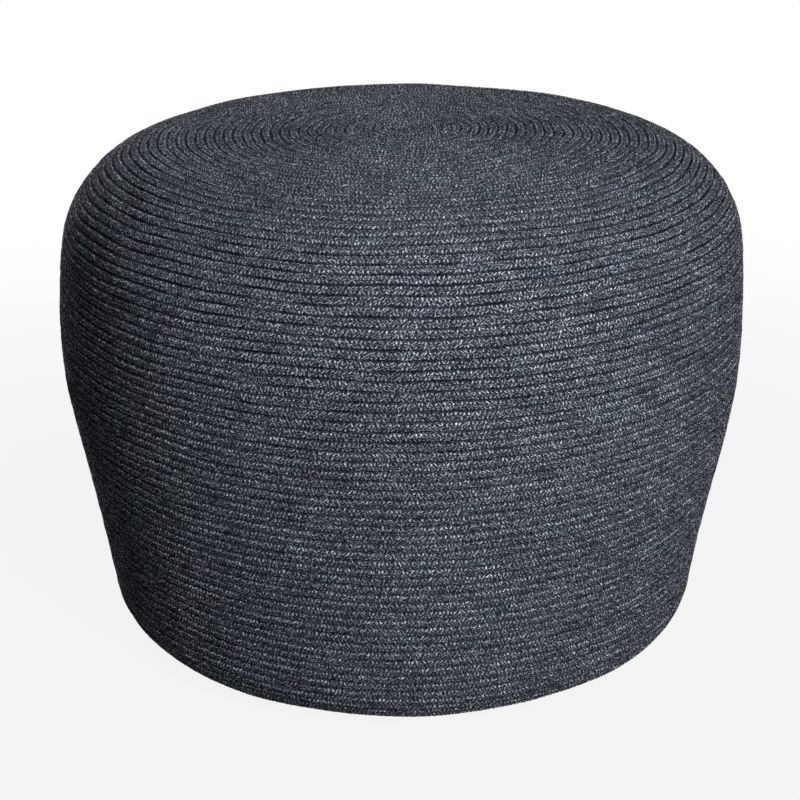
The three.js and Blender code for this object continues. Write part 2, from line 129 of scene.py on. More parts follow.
GRIP_SHARES = (0.22, 0.36, 0.5, 0.64, 0.78)  # where bars stand on the pull's tab, from its arms to its hole
GRIP_RISE = 0.2 * MM

# Seams on the underside. A stitch has a length, a gap to the next one, and its thread's thickness.
CLOTH_SEAMS = (11 * MM, 14 * MM)  # inside the cloth's edge
CLOTH_STITCH = (3.2 * MM, 1.3 * MM, 0.45 * MM)
TAPE_SEAMS = (7.6 * MM, -9.2 * MM, -12.2 * MM)  # outside the middle of the zip, all the way round
BAND_SEAMS = (-2 * MM, 2 * MM)  # likewise, on the band that has no zip
TAPE_STITCH = (2.6 * MM, 0.9 * MM, 0.5 * MM)
STITCH_PROUD = 0.05 * MM

# The braid of the cord: two rows of stitches that lean apart, each stitch one strand passing over another
STITCH = 2.9 * MM
SLANT_REACH = 0.5  # of a stitch, by which its two ends lean to either side
ROW_MIDDLE = 0.25  # of the pitch, from the cord's middle to the middle of a row
SECTION_POWER = 2.5  # how square the cord's section is pressed by its neighbours
STITCH_RISE = 0.42 * MM  # of a stitch over the mean surface
VALLEY = 0.3 * MM  # between the two rows
TOP_COLUMNS = (0, 0.12, 0.25, 0.38, 0.47, 0.5)  # across half the cord, in pitches from its middle
UNDER_COLUMN = 0.36  # the corner of the cord's hidden underside
BAND_COUNT = 12


class Bend:
    """One arc of the outline, about a centre at a radius and a height."""

    def __init__(self, centre_r, centre_z, radius, start, end):
        self.centre_r = centre_r
        self.centre_z = centre_z
        self.radius = radius
        self.start = start
        self.end = end
        self.length = radius * (end - start)

    def place(self, share, depth):
        """Radius and height at a share of the arc's length and a depth under it."""
        angle = self.start + share * (self.end - self.start)
        reach = self.radius - depth
        return self.centre_r + reach * np.sin(angle), self.centre_z + reach * np.cos(angle)


class Slope:
    """The straight taper between two bends, which face the same way where it joins them."""

    def __init__(self, above, below, length):
        self.above = above
        self.below = below
        self.length = length

    def place(self, share, depth):
        top_r, top_z = self.above.place(1, depth)
        foot_r, foot_z = self.below.place(0, depth)
        return top_r + share * (foot_r - top_r), top_z + share * (foot_z - top_z)


def make_outline():
    """The stretches of the outline from the middle of the crown to the hem."""
    belly_r = OVERALL_WIDTH / 2 - BELLY_RADIUS
    foot_r = belly_r + BELLY_RADIUS * math.sin(TAPER_ANGLE) + TAPER_LENGTH * math.cos(TAPER_ANGLE)
    foot_drop = BELLY_RADIUS * math.cos(TAPER_ANGLE) - TAPER_LENGTH * math.sin(TAPER_ANGLE)
    base_r = foot_r - BASE_RADIUS * math.sin(TAPER_ANGLE)
    base_z = STAND_HEIGHT + BASE_RADIUS
    belly_z = base_z - foot_drop + BASE_RADIUS * math.cos(TAPER_ANGLE)
    shoulder_r = belly_r + (BELLY_RADIUS - SHOULDER_RADIUS) * math.sin(SHOULDER_ANGLE)
    shoulder_z = belly_z + (BELLY_RADIUS - SHOULDER_RADIUS) * math.cos(SHOULDER_ANGLE)
    crown_angle = math.asin(shoulder_r / (CROWN_RADIUS - SHOULDER_RADIUS))
    crown_z = shoulder_z - (CROWN_RADIUS - SHOULDER_RADIUS) * math.cos(crown_angle)
    crown = Bend(0, crown_z, CROWN_RADIUS, 0, crown_angle)
    shoulder = Bend(shoulder_r, shoulder_z, SHOULDER_RADIUS, crown_angle, SHOULDER_ANGLE)
    belly = Bend(belly_r, belly_z, BELLY_RADIUS, SHOULDER_ANGLE, TAPER_ANGLE)
    turn_under = Bend(base_r, base_z, BASE_RADIUS, TAPER_ANGLE, FOLD_ANGLE)
    tuck = Bend(base_r, base_z, BASE_RADIUS, FOLD_ANGLE, HEM_ANGLE)
    return [crown, shoulder, belly, Slope(belly, turn_under, TAPER_LENGTH), turn_under, tuck]


STRETCHES = make_outline()
OUTLINE_LENGTH = sum(stretch.length for stretch in STRETCHES)
FOLD_LENGTH = OUTLINE_LENGTH - STRETCHES[-1].length


def along_outline(distance, depth):
    """Radius and height at distances along the outline from the crown's middle, at depths under it."""
    distance, depth = np.broadcast_arrays(np.asarray(distance, float), np.asarray(depth, float))
    found = np.zeros((2, *distance.shape))
    start = 0
    for stretch in STRETCHES:
        share = np.clip((distance - start) / stretch.length, 0, 1)
        found = np.where(distance >= start, stretch.place(share, depth), found)
        start += stretch.length
    return found


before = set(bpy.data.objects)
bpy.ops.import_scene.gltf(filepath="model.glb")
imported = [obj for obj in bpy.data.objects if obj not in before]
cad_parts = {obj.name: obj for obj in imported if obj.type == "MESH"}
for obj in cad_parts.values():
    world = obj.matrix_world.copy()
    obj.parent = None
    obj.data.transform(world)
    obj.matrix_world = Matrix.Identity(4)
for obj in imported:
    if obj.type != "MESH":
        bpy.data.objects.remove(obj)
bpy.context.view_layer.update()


def span(node):
    """The lowest and highest places of a node, as two heights."""
    low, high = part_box(node)
    return low.z, high.z


# Radii and heights on the underside, and angles along the zip
HEM_RADIUS = float(along_outline(OUTLINE_LENGTH, 0)[0])
ZIP_RADIUS = HEM_RADIUS - SLIDER_WIDTH / 2 - TAPE_OVERLAP
CHAIN_INNER = ZIP_RADIUS - CHAIN_PARTING / 2 - CHAIN_HALF_WIDTH
CHAIN_OUTER = ZIP_RADIUS + CHAIN_PARTING / 2 + CHAIN_HALF_WIDTH
TAPE_OUTER = HEM_RADIUS + TAPE_OVERLAP
TAPE_INNER = CHAIN_INNER + TAPE_BITE - TAPE_WIDTH
CLOTH_RADIUS = ZIP_RADIUS - CLOTH_INSET
BOARD_RADIUS = ZIP_RADIUS - BOARD_INSET
FOOT_CIRCLE = TAPE_INNER - FOOT_INSET - FOOT_RADIUS
DRAIN_CIRCLE = BOARD_RADIUS * DRAIN_CIRCLE_SHARE
SCREW_BORE = SCREW_RADIUS + SCREW_PLAY
LINER_SEAT = span("base_board")[1] + FIT_GAP
LINER_FLAT = span("zip_slider")[1] + SLIDER_HEADROOM
TOP_STOP_END = ZIP_START + (ZIP_MARGIN + STOP_LENGTH) / ZIP_RADIUS
BOTTOM_STOP_START = ZIP_END - (ZIP_MARGIN + STOP_LENGTH) / ZIP_RADIUS
SLIDER_ANGLE = TOP_STOP_END + (END_PLAY + SLIDER_LENGTH / 2) / ZIP_RADIUS
HINGE_HEIGHT = span("zip_slider")[1] - SLIDER_HEIGHT - PULL_PLAY - PULL_BAR / 2
PULL_REACH = math.hypot(BAIL_LENGTH / 2, HINGE_HEIGHT - span("zip_slider")[0]) + PULL_PLAY
PULL_DROOP = math.asin((HINGE_HEIGHT - FIT_GAP - PULL_THICKNESS / 2) / PULL_LENGTH)


# Shapes. Each is points with faces, in metres.


def ring_faces(rings, columns, closed=False):
    """Quads between neighbouring rings of points, each a closed loop of columns."""
    ring = np.arange(rings if closed else rings - 1)[:, None]
    column = np.arange(columns)[None, :]
    after = (column + 1) % columns
    following = (ring + 1) % rings
    quads = [ring * columns + column, following * columns + column]
    quads += [following * columns + after, ring * columns + after]
    return np.stack(np.broadcast_arrays(*quads), -1).reshape(-1, 4).tolist()


def tube_faces(rings, columns):
    """The same for a tube, with its two ends closed."""
    last = rings * columns - 1
    return [*ring_faces(rings, columns), list(range(columns)), list(range(last, last - columns, -1))]


def turned(radius, angle, height):
    """Points at radii, angles round Z and heights."""
    return np.stack(np.broadcast_arrays(radius * np.cos(angle), radius * np.sin(angle), height), -1)


def moved(shape, place):
    points, faces = shape
    return np.asarray(points) @ np.array(place.to_3x3()).T + np.array(place.translation), faces


def together(shapes):
    """Several shapes as one."""
    points, faces, start = [], [], 0
    for some_points, some_faces in shapes:
        points.append(np.asarray(some_points))
        faces += [[start + corner for corner in face] for face in some_faces]
        start += len(some_points)
    return np.concatenate(points), faces


def on_circle(angle, radius, height=0.0):
    """A place on a circle round Z, with its own X pointing outwards."""
    return Matrix.Rotation(angle, 4, "Z") @ Matrix.Translation((radius, 0, height))


EDGE_SHARE = 0.49  # of an edge that the bend at its end may take


def rounded(corners, reach, steps=3):
    """A closed outline with its corners bent, but those on the axis. A bend starts the reach before it."""
    corners = [np.array(corner, float) for corner in corners]
    found = []
    for before, here, after in zip([corners[-1], *corners], corners, [*corners[1:], corners[0]]):
        if here[0] == 0:
            found.append(here)
            continue
        edges = (before - here, after - here)
        start, end = (here + edge * min(reach / np.linalg.norm(edge), EDGE_SHARE) for edge in edges)
        for t in np.linspace(0, 1, steps + 1):
            found.append((1 - t) ** 2 * start + 2 * t * (1 - t) * here + t**2 * end)
    return np.array(found)


def mirrored(half, sides):
    """An outline from its half: the half flipped by the signs of its sides, then the half backwards."""
    half = np.array(half)
    return np.concatenate([half * sides, half[::-1]])


def lathed(profile, segments, change=None):
    """A closed profile of radii and heights turned about Z. The change moves its points by their angle."""
    angle = TURN * np.arange(segments)[:, None] / segments
    radius, height = np.broadcast_arrays(*(np.asarray(profile, float).T[:, None, :] + 0 * angle))
    if change:
        radius, height = change(angle, radius, height)
    return turned(radius, angle, height).reshape(-1, 3), ring_faces(segments, radius.shape[1], closed=True)


def swept(sections, closed=False):
    """A solid through sections, each a closed loop of as many points."""
    rings, columns = len(sections), len(sections[0])
    faces = ring_faces(rings, columns, closed=True) if closed else tube_faces(rings, columns)
    return np.concatenate(sections), faces


def circle(radius, count, x=0.0, y=0.0):
    angle = TURN * np.arange(count) / count
    return np.stack([x + radius * np.cos(angle), y + radius * np.sin(angle)], -1)


def box_outline(x_low, x_high, y_low, y_high, corner, steps=4):
    return rounded([(x_low, y_low), (x_high, y_low), (x_high, y_high), (x_low, y_high)], corner, steps)


def loop_pairs(items):
    """Each item of a closed loop with the one after it."""
    return zip(items, items[1:] + items[:1])


def plate(outlines, low, high, edge):
    """A flat plate with rounded edges: the first outline, with the others cut out of it."""
    shape = bmesh.new()
    bends = np.linspace(0, math.pi / 2, 4)
    layers = [(edge * (1 - math.sin(bend)), low + edge * (1 - math.cos(bend))) for bend in bends]
    layers += [(inset, low + high - z) for inset, z in reversed(layers)]
    rims = [[], []]
    for index, outline in enumerate(outlines):
        ahead = np.roll(outline, -1, 0) - np.roll(outline, 1, 0)
        inward = np.stack([-ahead[:, 1], ahead[:, 0]], -1) / np.linalg.norm(ahead, axis=1, keepdims=True)
        inward *= -1 if index else 1
        rings = []
        for inset, z in layers:
            rings.append([shape.verts.new((*spot, z)) for spot in np.asarray(outline) + inset * inward])
        for ring, following in zip(rings, rings[1:]):
            for (a, b), (d, c) in zip(loop_pairs(ring), loop_pairs(following)):
                shape.faces.new((a, b, c, d))
        for rim, ring in zip(rims, (rings[0], rings[-1])):
            rim += [shape.edges.get(pair) for pair in loop_pairs(ring)]
    for rim in rims:
        bmesh.ops.triangle_fill(shape, edges=rim, use_beauty=True)
    shape.verts.index_update()
    points = np.array([tuple(vertex.co) for vertex in shape.verts])
    faces = [[vertex.index for vertex in face.verts] for face in shape.faces]
    shape.free()
    return points, faces


STRIP_STEP = 1.6 * MM


def strip(inner, outer, low, high, start, end):
    """A flat band along part of a circle, with rounded edges."""
    radius, height = box_outline(inner, outer, low, high, TAPE_EDGE, 2).T
    count = max(int((end - start) * outer / STRIP_STEP), 2)
    return swept([turned(radius, angle, height) for angle in np.linspace(start, end, count + 1)])


def stitch_row(radius, height, start, end, stitch):
    """Running stitches along part of a circle: short threads that show below the height, with sunk ends."""
    length, gap, thickness = stitch
    count = int((end - start) * radius / (length + gap))
    across, up = circle(thickness / 2, 6).T
    threads = []
    for middle in start + (end - start) * (np.arange(count) + 0.5) / count:
        sections = []
        for share in (-1, -0.8, 0, 0.8, 1):
            angle = middle + share * length / 2 / radius
            sink = thickness * abs(share) ** 3
            sections.append(turned(radius + across, angle, height + sink + up))
        threads.append(swept(sections))
    return together(threads)


# Pieces


def add_object(name, data):
    found = bpy.data.objects.new(name, data)
    bpy.context.scene.collection.objects.link(found)
    return found


def new_piece(name, shape, material, body="ottoman", replaces=()):
    """A smooth mesh object which rides on a body."""
    points, faces = shape
    mesh = bpy.data.meshes.new(name)
    mesh.from_pydata(np.asarray(points, float).tolist(), [], faces)
    mesh.materials.append(material)
    mesh.update()
    mesh.shade_smooth()
    piece = add_object(name, mesh)
    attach(piece, body)
    if replaces:
        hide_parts(*replaces)
    return piece


SHARP = math.radians(38)  # edges that bend more than this are shaded sharp
WELD = 0.001 * MM


def make(name, shape, material, body="ottoman", replaces=()):
    """A piece with points at one place joined, its faces turned outwards and its edges marked sharp."""
    piece = new_piece(name, shape, material, body, replaces)
    joined = bmesh.new()
    joined.from_mesh(piece.data)
    bmesh.ops.remove_doubles(joined, verts=joined.verts, dist=WELD)
    bmesh.ops.recalc_face_normals(joined, faces=joined.faces)
    joined.to_mesh(piece.data)
    joined.free()
    piece.data.set_sharp_from_angle(angle=SHARP)
    return piece


def make_copies(name, shape, places, material, node):
    for index, place in enumerate(places, 1):
        make(f"{name}_{index}", moved(shape, place), material, replaces=[f"{node}_{index}"])


# Shader graphs

NOISE_RANGE = (0.3, 0.7)  # in which most values of a noise fall


def operator(operation, swapped=False):
    """A method that does its sum in a new node."""

    def operate(self, *others):
        return self.graph.math(operation, *((*others, self) if swapped else (self, *others)))

    return operate


class Value:
    """What a node gives. It adds up, multiplies and divides like a number."""

    def __init__(self, graph, socket):
        self.graph = graph
        self.socket = socket

    __add__ = __radd__ = operator("ADD")
    __sub__ = operator("SUBTRACT")
    __rsub__ = operator("SUBTRACT", swapped=True)
    __mul__ = __rmul__ = operator("MULTIPLY")
    __truediv__ = operator("DIVIDE")
    __abs__ = operator("ABSOLUTE")
    floor = operator("FLOOR")

    def dome(self):
        """1 in the middle of each repeat, and 0 at its ends."""
        off = self.graph.math("FRACT", self) * 2.0 - 1.0
        return 1.0 - off * off

    def remap(self, low, high, to_low=0.0, to_high=1.0, smooth=True):
        kind = "SMOOTHSTEP" if smooth else "LINEAR"
        inputs = {"Value": self, "From Min": low, "From Max": high, "To Min": to_low, "To Max": to_high}
        return self.graph.node("ShaderNodeMapRange", inputs, interpolation_type=kind)["Result"]

    def varied(self, low, high):
        """A noise spread from the low to the high."""
        return self.remap(*NOISE_RANGE, low, high)


class Graph:
    """The nodes of a material or a world. An input is a value of the graph or a plain constant."""

    def __init__(self, owner):
        self.owner = owner
        owner.use_nodes = True
        self.tree = owner.node_tree
        self.tree.nodes.clear()

    def node(self, kind, inputs=None, **settings):
        """Adds a node and gives its outputs, by name and by number."""
        node = self.tree.nodes.new(kind)
        for key, value in settings.items():
            setattr(node, key, value)
        for key, value in (inputs or {}).items():
            if isinstance(value, Value):
                self.tree.links.new(value.socket, node.inputs[key])
            else:
                node.inputs[key].default_value = value
        values = [Value(self, socket) for socket in node.outputs]
        return dict(enumerate(values)) | dict(zip(node.outputs.keys(), values))

    def math(self, operation, *values, clamp=False):
        return self.node("ShaderNodeMath", dict(enumerate(values)), operation=operation, use_clamp=clamp)[0]

    def place(self):
        """The place on the object, which has its origin at the frame's."""
        return self.node("ShaderNodeTexCoord")["Object"]

    def combine(self, x, y, z=0.0):
        return self.node("ShaderNodeCombineXYZ", {"X": x, "Y": y, "Z": z})[0]

    def separate(self, vector):
        axes = self.node("ShaderNodeSeparateXYZ", {"Vector": vector})
        return axes["X"], axes["Y"], axes["Z"]

    def random(self, vector):
        return self.node("ShaderNodeTexWhiteNoise", {"Vector": vector}, noise_dimensions="3D")["Value"]

    def noise(self, scale, detail=2.0, roughness=0.5, at=None, output="Fac"):
        """Noise with so many lumps to a metre, or to a unit of the vector that it is taken at."""
        vector = at or self.place()
        inputs = {"Vector": vector, "Scale": scale, "Detail": detail, "Roughness": roughness}
        return self.node("ShaderNodeTexNoise", inputs)[output]

    def cells(self, scale):
        return self.node("ShaderNodeTexVoronoi", {"Vector": self.place(), "Scale": scale})["Distance"]

    def stretched(self, scales, vector=None):
        return self.node("ShaderNodeMapping", {"Vector": vector or self.place(), "Scale": scales})[0]

    def polar(self, count):
        """The distance from Z, and the place round it in whole threads or other repeats."""
        x, y, _ = self.separate(self.place())
        return self.math("SQRT", x * x + y * y), self.math("ARCTAN2", y, x) * (count / TURN)

    def ramp(self, value, stops):
        node = self.tree.nodes.new("ShaderNodeValToRGB")
        self.tree.links.new(value.socket, node.inputs["Fac"])
        elements = node.color_ramp.elements
        while len(elements) < len(stops):
            elements.new(1)
        for element, (position, colour) in zip(elements, stops):
            element.position = position
            element.color = (*colour, 1)
        return Value(self, node.outputs["Color"])

    def mix(self, share, a, b, blend="MIX"):
        inputs = {0: share, 6: a, 7: b}
        for key, value in inputs.items():
            if isinstance(value, tuple):
                inputs[key] = (*value, 1)
        return self.node("ShaderNodeMix", inputs, data_type="RGBA", blend_type=blend)[2]

    def darken(self, colour, share):
        """The colour times a grey."""
        grey = self.node("ShaderNodeCombineColor", {0: share, 1: share, 2: share})[0]
        return self.mix(1.0, colour, grey, "MULTIPLY")

    def clouded(self, colour, noise, low, high):
        """The colour times a grey from the low to the high, as the noise goes."""
        return self.darken(colour, noise.remap(*NOISE_RANGE, low, high, smooth=False))

    def bump(self, height, distance):
        return self.node("ShaderNodeBump", {"Height": height, "Distance": distance, "Strength": 1.0})[0]

    def surface(self, colour, roughness, normal, **constants):
        """Ends the graph in a Principled shader. The constants are set on its own sockets."""
        inputs = {"Base Color": colour, "Roughness": roughness, "Normal": normal}
        inputs.update({key.replace("_", " "): value for key, value in constants.items()})
        shader = self.node("ShaderNodeBsdfPrincipled", inputs)[0]
        self.node("ShaderNodeOutputMaterial", {"Surface": shader})
        return self.owner


def new_material(name):
    return Graph(bpy.data.materials.new(name))


# The cord's looks

YARNS = 3  # that show side by side in a stitch
# Light yarn tones of the flecks, which are also painted highlights on the stitches' crests
FLECK_TONES = (
    (0.20, (0.172, 0.192, 0.232)),
    (0.40, (0.335, 0.355, 0.405)),
    (0.60, (0.520, 0.545, 0.600)),
    (0.85, (0.790, 0.812, 0.855)),
)
# Dark yarn tones between the flecks, which are also painted shade in the hollows between stitches
SHADE_TONES = (
    (0.38, (0.004, 0.005, 0.009)),
    (0.50, (0.017, 0.021, 0.032)),
    (0.62, (0.092, 0.104, 0.131)),
)
# A fleck's half and jitter are shares of its own room, along the cord and across it
FLECKS = {"seed": 0.0, "half": (0.20, 0.27), "jitter": (0.36, 0.2), "lean": 1.15}
FINE_FLECKS = {"seed": 20.0, "half": (0.22, 0.26), "jitter": (0.5, 0.4), "lean": 1.5}  # between the rows
FINE_PACE = 1.5  # fine flecks to a stitch
STROKE_SIZES = (0.75, 1.2)
LEAN_CHANCE = (0.35, 0.65)  # random numbers outside these give strokes that lean as far as they may
RAGGED_REACH = 0.5  # by which noise moves the edges of a fleck
RAGGED_PACES = (2.9, 10.0)  # of that noise, to a stitch and to the cord's width
FIBRE_PACES = (2.6, 9.0)
FIBRE_SHIFT = 57.0  # of the fibres' noise from one stitch to another, times a random number
FLECK_EDGE = (0.45, 0.95)  # between which a fleck ends, of the way from its middle to its edge
FINE_EDGE = (0.4, 1.0)
FAINT_SHARES = (0.4, 0.9)  # of a fleck's strength that a fine one has
FAINT_EDGE = (0.25, 0.45)  # from the cord's middle, between which fine flecks fade
FAINT_EDGE_SHARE = 0.6
YARN_TONE, STITCH_TONE, FIBRE_TONE, LOWEST_TONE = 0.25, 0.16, 0.40, 0.07
TEAL_PATCH = ((0.52, 0.68), (0.93, 1.02, 1.03))  # from where to where in the patches' noise, and its tint
PURPLE_PATCH = ((0.48, 0.34), (1.02, 0.98, 1.01))
CROWN_HEIGHTS = (0.35, 0.395)  # in metres, between which the flecks turn softer towards the crown
CROWN_FLAT_SHARE = 0.12
CROWN_FLAT_COLOUR = (0.105, 0.118, 0.145)
STREAK_PACE = 0.09  # of the brighter and darker streaks along a row, to a stitch
STREAK_SHIFT = 7.3  # of their noise from one row to the next
STREAK_SHARES = (0.74, 1.26)
WORN_SHARES = (0.90, 1.10)
YARN_SHADE = 0.65  # painted shade between two yarns: the share of the colour left there
GROOVE_EDGES = (0.42, 0.36)  # where the painted groove shade starts, from a closed groove to an open one
GROOVE_END = 0.49
GROOVE_RAGGED = 0.35
GROOVE_SHADES = (0.25, 0.6)  # likewise how much of the colour the painted shade takes away
CROWN_GROOVE = 0.25  # how much more painted shade it takes near the crown
CORD_RELIEF = {"fleck": 0.55, "yarn": 0.2, "fibre": 0.25}
CORD_BUMP = 0.5 * MM


def strokes(graph, phase, level, ragged, seed, half, jitter, lean):
    """Slanted strokes, one in each unit of the phase and of the level.

    Returns how far out of a stroke a point is, from 0 in its middle to 1 at its edge, its distance from the
    middle along the phase, and a function for random numbers that stay the same all over a stroke.
    """
    units = phase.floor(), level.floor()

    def random(salt):
        """A random number of the stroke, another one for each salt."""
        return graph.random(graph.combine(units[0], seed + salt, units[1]))

    offsets = []
    for index, value in enumerate((phase, level)):
        offset = value - units[index] - 0.5 + (random(1.5 + index) - 0.5) * jitter[index]
        offsets.append(offset + (ragged[index] - 0.5) * RAGGED_REACH)
    along, across = offsets
    along = along + random(3.5).remap(*LEAN_CHANCE, -lean, lean) * across
    size = random(4.5).remap(0.0, 1.0, *STROKE_SIZES, smooth=False)
    shares = [offset / (size * reach) for offset, reach in zip((along, across), half)]
    return shares[0] * shares[0] + shares[1] * shares[1], along, random


def fine_flecks(graph, along, level, spread):
    """How strongly the fine flecks show."""
    between = level + 0.5
    phase = along * FINE_PACE + between.floor() * 0.5
    reach, _, random = strokes(graph, phase, between, (0.5, 0.5), **FINE_FLECKS)
    faint = random(5.5).remap(0.1, 0.9, *FAINT_SHARES) * spread.remap(*FAINT_EDGE, 1.0, FAINT_EDGE_SHARE)
    return reach.remap(*FINE_EDGE, 1.0, 0.0) * faint


def groove_shade(graph, spread, uneven, over_floor):
    """How much of the cord's colour is left under painted shade towards the grooves beside it, which open
    and close along it.
    """
    opening = graph.node("ShaderNodeAttribute", attribute_name="opening")["Fac"]
    edge = opening.remap(0.0, 1.0, *GROOVE_EDGES, smooth=False)
    groove = (spread + (uneven - 0.5) * GROOVE_RAGGED).remap(edge, GROOVE_END)
    shade = opening.remap(0.0, 1.0, *GROOVE_SHADES, smooth=False)
    shade = shade + over_floor.remap(*CROWN_HEIGHTS, 0.0, CROWN_GROOVE)
    return 1.0 - groove * shade


def cord_material():
    """Heathered braid, with painted highlights on its stitches and painted shade between its stitches, yarns
    and turns. The UV map counts stitches along the cord, and goes from -1/2 to 1/2 across it.
    """
    graph = new_material("braided_cord")
    along, across, _ = graph.separate(graph.node("ShaderNodeUVMap", uv_map="cord")[0])
    spread = abs(across)
    _, _, over_floor = graph.separate(graph.place())
    ragged_place = graph.combine(along * RAGGED_PACES[0], across * RAGGED_PACES[1])
    ragged = graph.separate(graph.noise(1.0, at=ragged_place, output="Color"))

    level = across * 2.0
    row = level.floor()
    phase = along + 1.0 + row * 0.5
    reach, offset, random = strokes(graph, phase, level, ragged, **FLECKS)
    fine = fine_flecks(graph, along, level, spread)
    fleck = graph.math("MAXIMUM", reach.remap(*FLECK_EDGE, 1.0, 0.0), fine)

    yarn_phase = (offset + 0.5) * float(YARNS)
    yarn_round = yarn_phase.dome()
    yarn_tone = graph.random(graph.combine(phase.floor(), yarn_phase.floor() + 0.25, row))
    fibre_place = offset * FIBRE_PACES[0], across * FIBRE_PACES[1], random(6.5) * FIBRE_SHIFT
    fibres = graph.noise(1.0, at=graph.combine(*fibre_place))
    tone = yarn_tone * YARN_TONE + (random(7.5) * STITCH_TONE + LOWEST_TONE)
    tone = tone + fibres.varied(0.0, 1.0) * FIBRE_TONE
    shade = ragged[2] * 0.5 + fibres * 0.5
    # flecks of light yarn with painted highlights, on dark yarn with painted shade between them
    colour = graph.mix(fleck, graph.ramp(shade, SHADE_TONES), graph.ramp(tone, FLECK_TONES))

    patches = graph.noise(38.0)
    for limits, tint in (TEAL_PATCH, PURPLE_PATCH):
        colour = graph.mix(patches.remap(*limits), colour, graph.mix(1.0, colour, tint, "MULTIPLY"))
    # towards the crown the colour is mixed with a flat mid tone
    colour = graph.mix(over_floor.remap(*CROWN_HEIGHTS, 0.0, CROWN_FLAT_SHARE), colour, CROWN_FLAT_COLOUR)
    streaks = graph.noise(1.0, detail=1.0, at=graph.combine(along * STREAK_PACE, row * STREAK_SHIFT))
    colour = graph.clouded(colour, streaks, *STREAK_SHARES)
    colour = graph.clouded(colour, graph.noise(9.0, detail=3.0), *WORN_SHARES)
    # painted shade between the yarns of a stitch
    colour = graph.darken(colour, yarn_round.remap(0.0, 0.8, YARN_SHADE, 1.0))
    # painted shade towards the grooves between the turns
    colour = graph.darken(colour, groove_shade(graph, spread, ragged[1], over_floor))
    height = fleck * CORD_RELIEF["fleck"] + yarn_round * CORD_RELIEF["yarn"] + fibres * CORD_RELIEF["fibre"]
    return graph.surface(colour, 0.92, graph.bump(height, CORD_BUMP), Specular_IOR_Level=0.02)


# The cord's form


def waves(seed, count, lengths, size, rounds=None):
    """A smooth random function of angle and distance, with whole waves round Z, or none without rounds."""
    rng = np.random.default_rng(seed)
    terms = []
    for _ in range(count):
        turns = rng.integers(rounds[0], rounds[1] + 1) if rounds else 0
        pace = TURN / rng.uniform(*lengths) * (rng.choice((-1, 1)) if rounds else 1)
        terms.append((turns, pace, rng.uniform(0, TURN)))

    def field(angle, distance):
        total = sum(np.sin(turns * angle + pace * distance + start) for turns, pace, start in terms)
        return total / math.sqrt(count / 2) / 2 * size

    return field


# Each has a seed, a number of waves, their shortest and longest, its size, and the rounds they may make
SWAY = waves(11, 9, (60 * MM, 240 * MM), 0.5 * MM, (4, 19))  # of the turns, along the outline
LUMPS = waves(12, 7, (150 * MM, 420 * MM), 1.1 * MM, (2, 9))  # in the padding under them
PINCH = waves(13, 9, (20 * MM, 70 * MM), 0.5, (9, 40))  # where turns stand apart, from 0 to about 1/2
PROUD = waves(14, 8, (18 * MM, 130 * MM), 0.22 * MM)  # of one turn over its neighbours
BIAS = waves(16, 9, (16 * MM, 200 * MM), 1.6)  # of the stitches, which lean one way more than the other
BIAS_SHARE = 0.7
ZIGZAG_SHARE = 0.4  # of the stitches' lean, from one way to the other and back
CHANCE_SHARE = 0.4
OPENING = waves(18, 14, (16 * MM, 60 * MM), 0.65, (4, 36))  # of the grooves between turns, -1/2 to 1/2 or so
CLOSED_SHARE = 0.8  # of a groove's depth, filled where the turns are pressed together
SCALLOP = 0.022  # of the pitch, by which a stitch stands out at the cord's edge
PINCH_WIDTH = 0.05  # of the pitch, at the most
THINNEST = 0.15  # of the cord's diameter, at its tapered start
SETTLED_RADIUS = 60 * MM  # the waves fade out nearer to the middle of the crown than this
FIRST_TURN = -0.3  # where the spiral's tapered start is, in turns
LAST_TURN = OUTLINE_LENGTH / CORD_PITCH + 0.45
LENGTH_SAMPLES = 40000


def cord_turns():
    """Turns of the spiral and lengths of cord up to them, finely sampled."""
    turns = np.linspace(FIRST_TURN, LAST_TURN, LENGTH_SAMPLES)
    radius = along_outline(np.clip(turns * CORD_PITCH, 0, OUTLINE_LENGTH), 0)[0]
    middle = (radius[1:] + radius[:-1]) / 2
    paces = np.hypot(TURN * middle, CORD_PITCH) * np.diff(turns)
    return turns, np.concatenate([[0], np.cumsum(paces)])


def section_columns():
    """The cord's section as a closed loop: for each column its place across, share of the depth, and UV."""
    columns = []
    for v in [-v for v in reversed(TOP_COLUMNS[1:])] + list(TOP_COLUMNS):
        rise = (1 - abs(2 * v) ** SECTION_POWER) ** (1 / SECTION_POWER)
        columns.append((v, (1 - rise) / 2, v))
    for side in (1, -1):
        columns.append((side * UNDER_COLUMN, 1, side * 0.75))
    return np.array(columns)


def stitch_slants(count):
    """How far each stitch of the two rows leans, from -1 to 1."""
    rng = np.random.default_rng(17)
    bias = np.tanh(BIAS(0, np.arange(count) * STITCH))[:, None] * BIAS_SHARE
    zigzag = (-1.0) ** np.arange(count)[:, None] * ZIGZAG_SHARE * rng.uniform(0.4, 1, (count, 2))
    return np.clip(bias + zigzag + CHANCE_SHARE * rng.uniform(-1, 1, (count, 2)), -1, 1)


def at_rings(values, rings, side):
    """The stitches' value at each ring, in the row on the column's side. Between two it is their mean."""
    upper = (values[rings // 2, 0] + values[(rings + 1) // 2, 0]) / 2
    lower = (values[(rings + 1) // 2, 1] + values[rings // 2 + 1, 1]) / 2
    return np.where(side < 0, upper[:, None], lower[:, None])


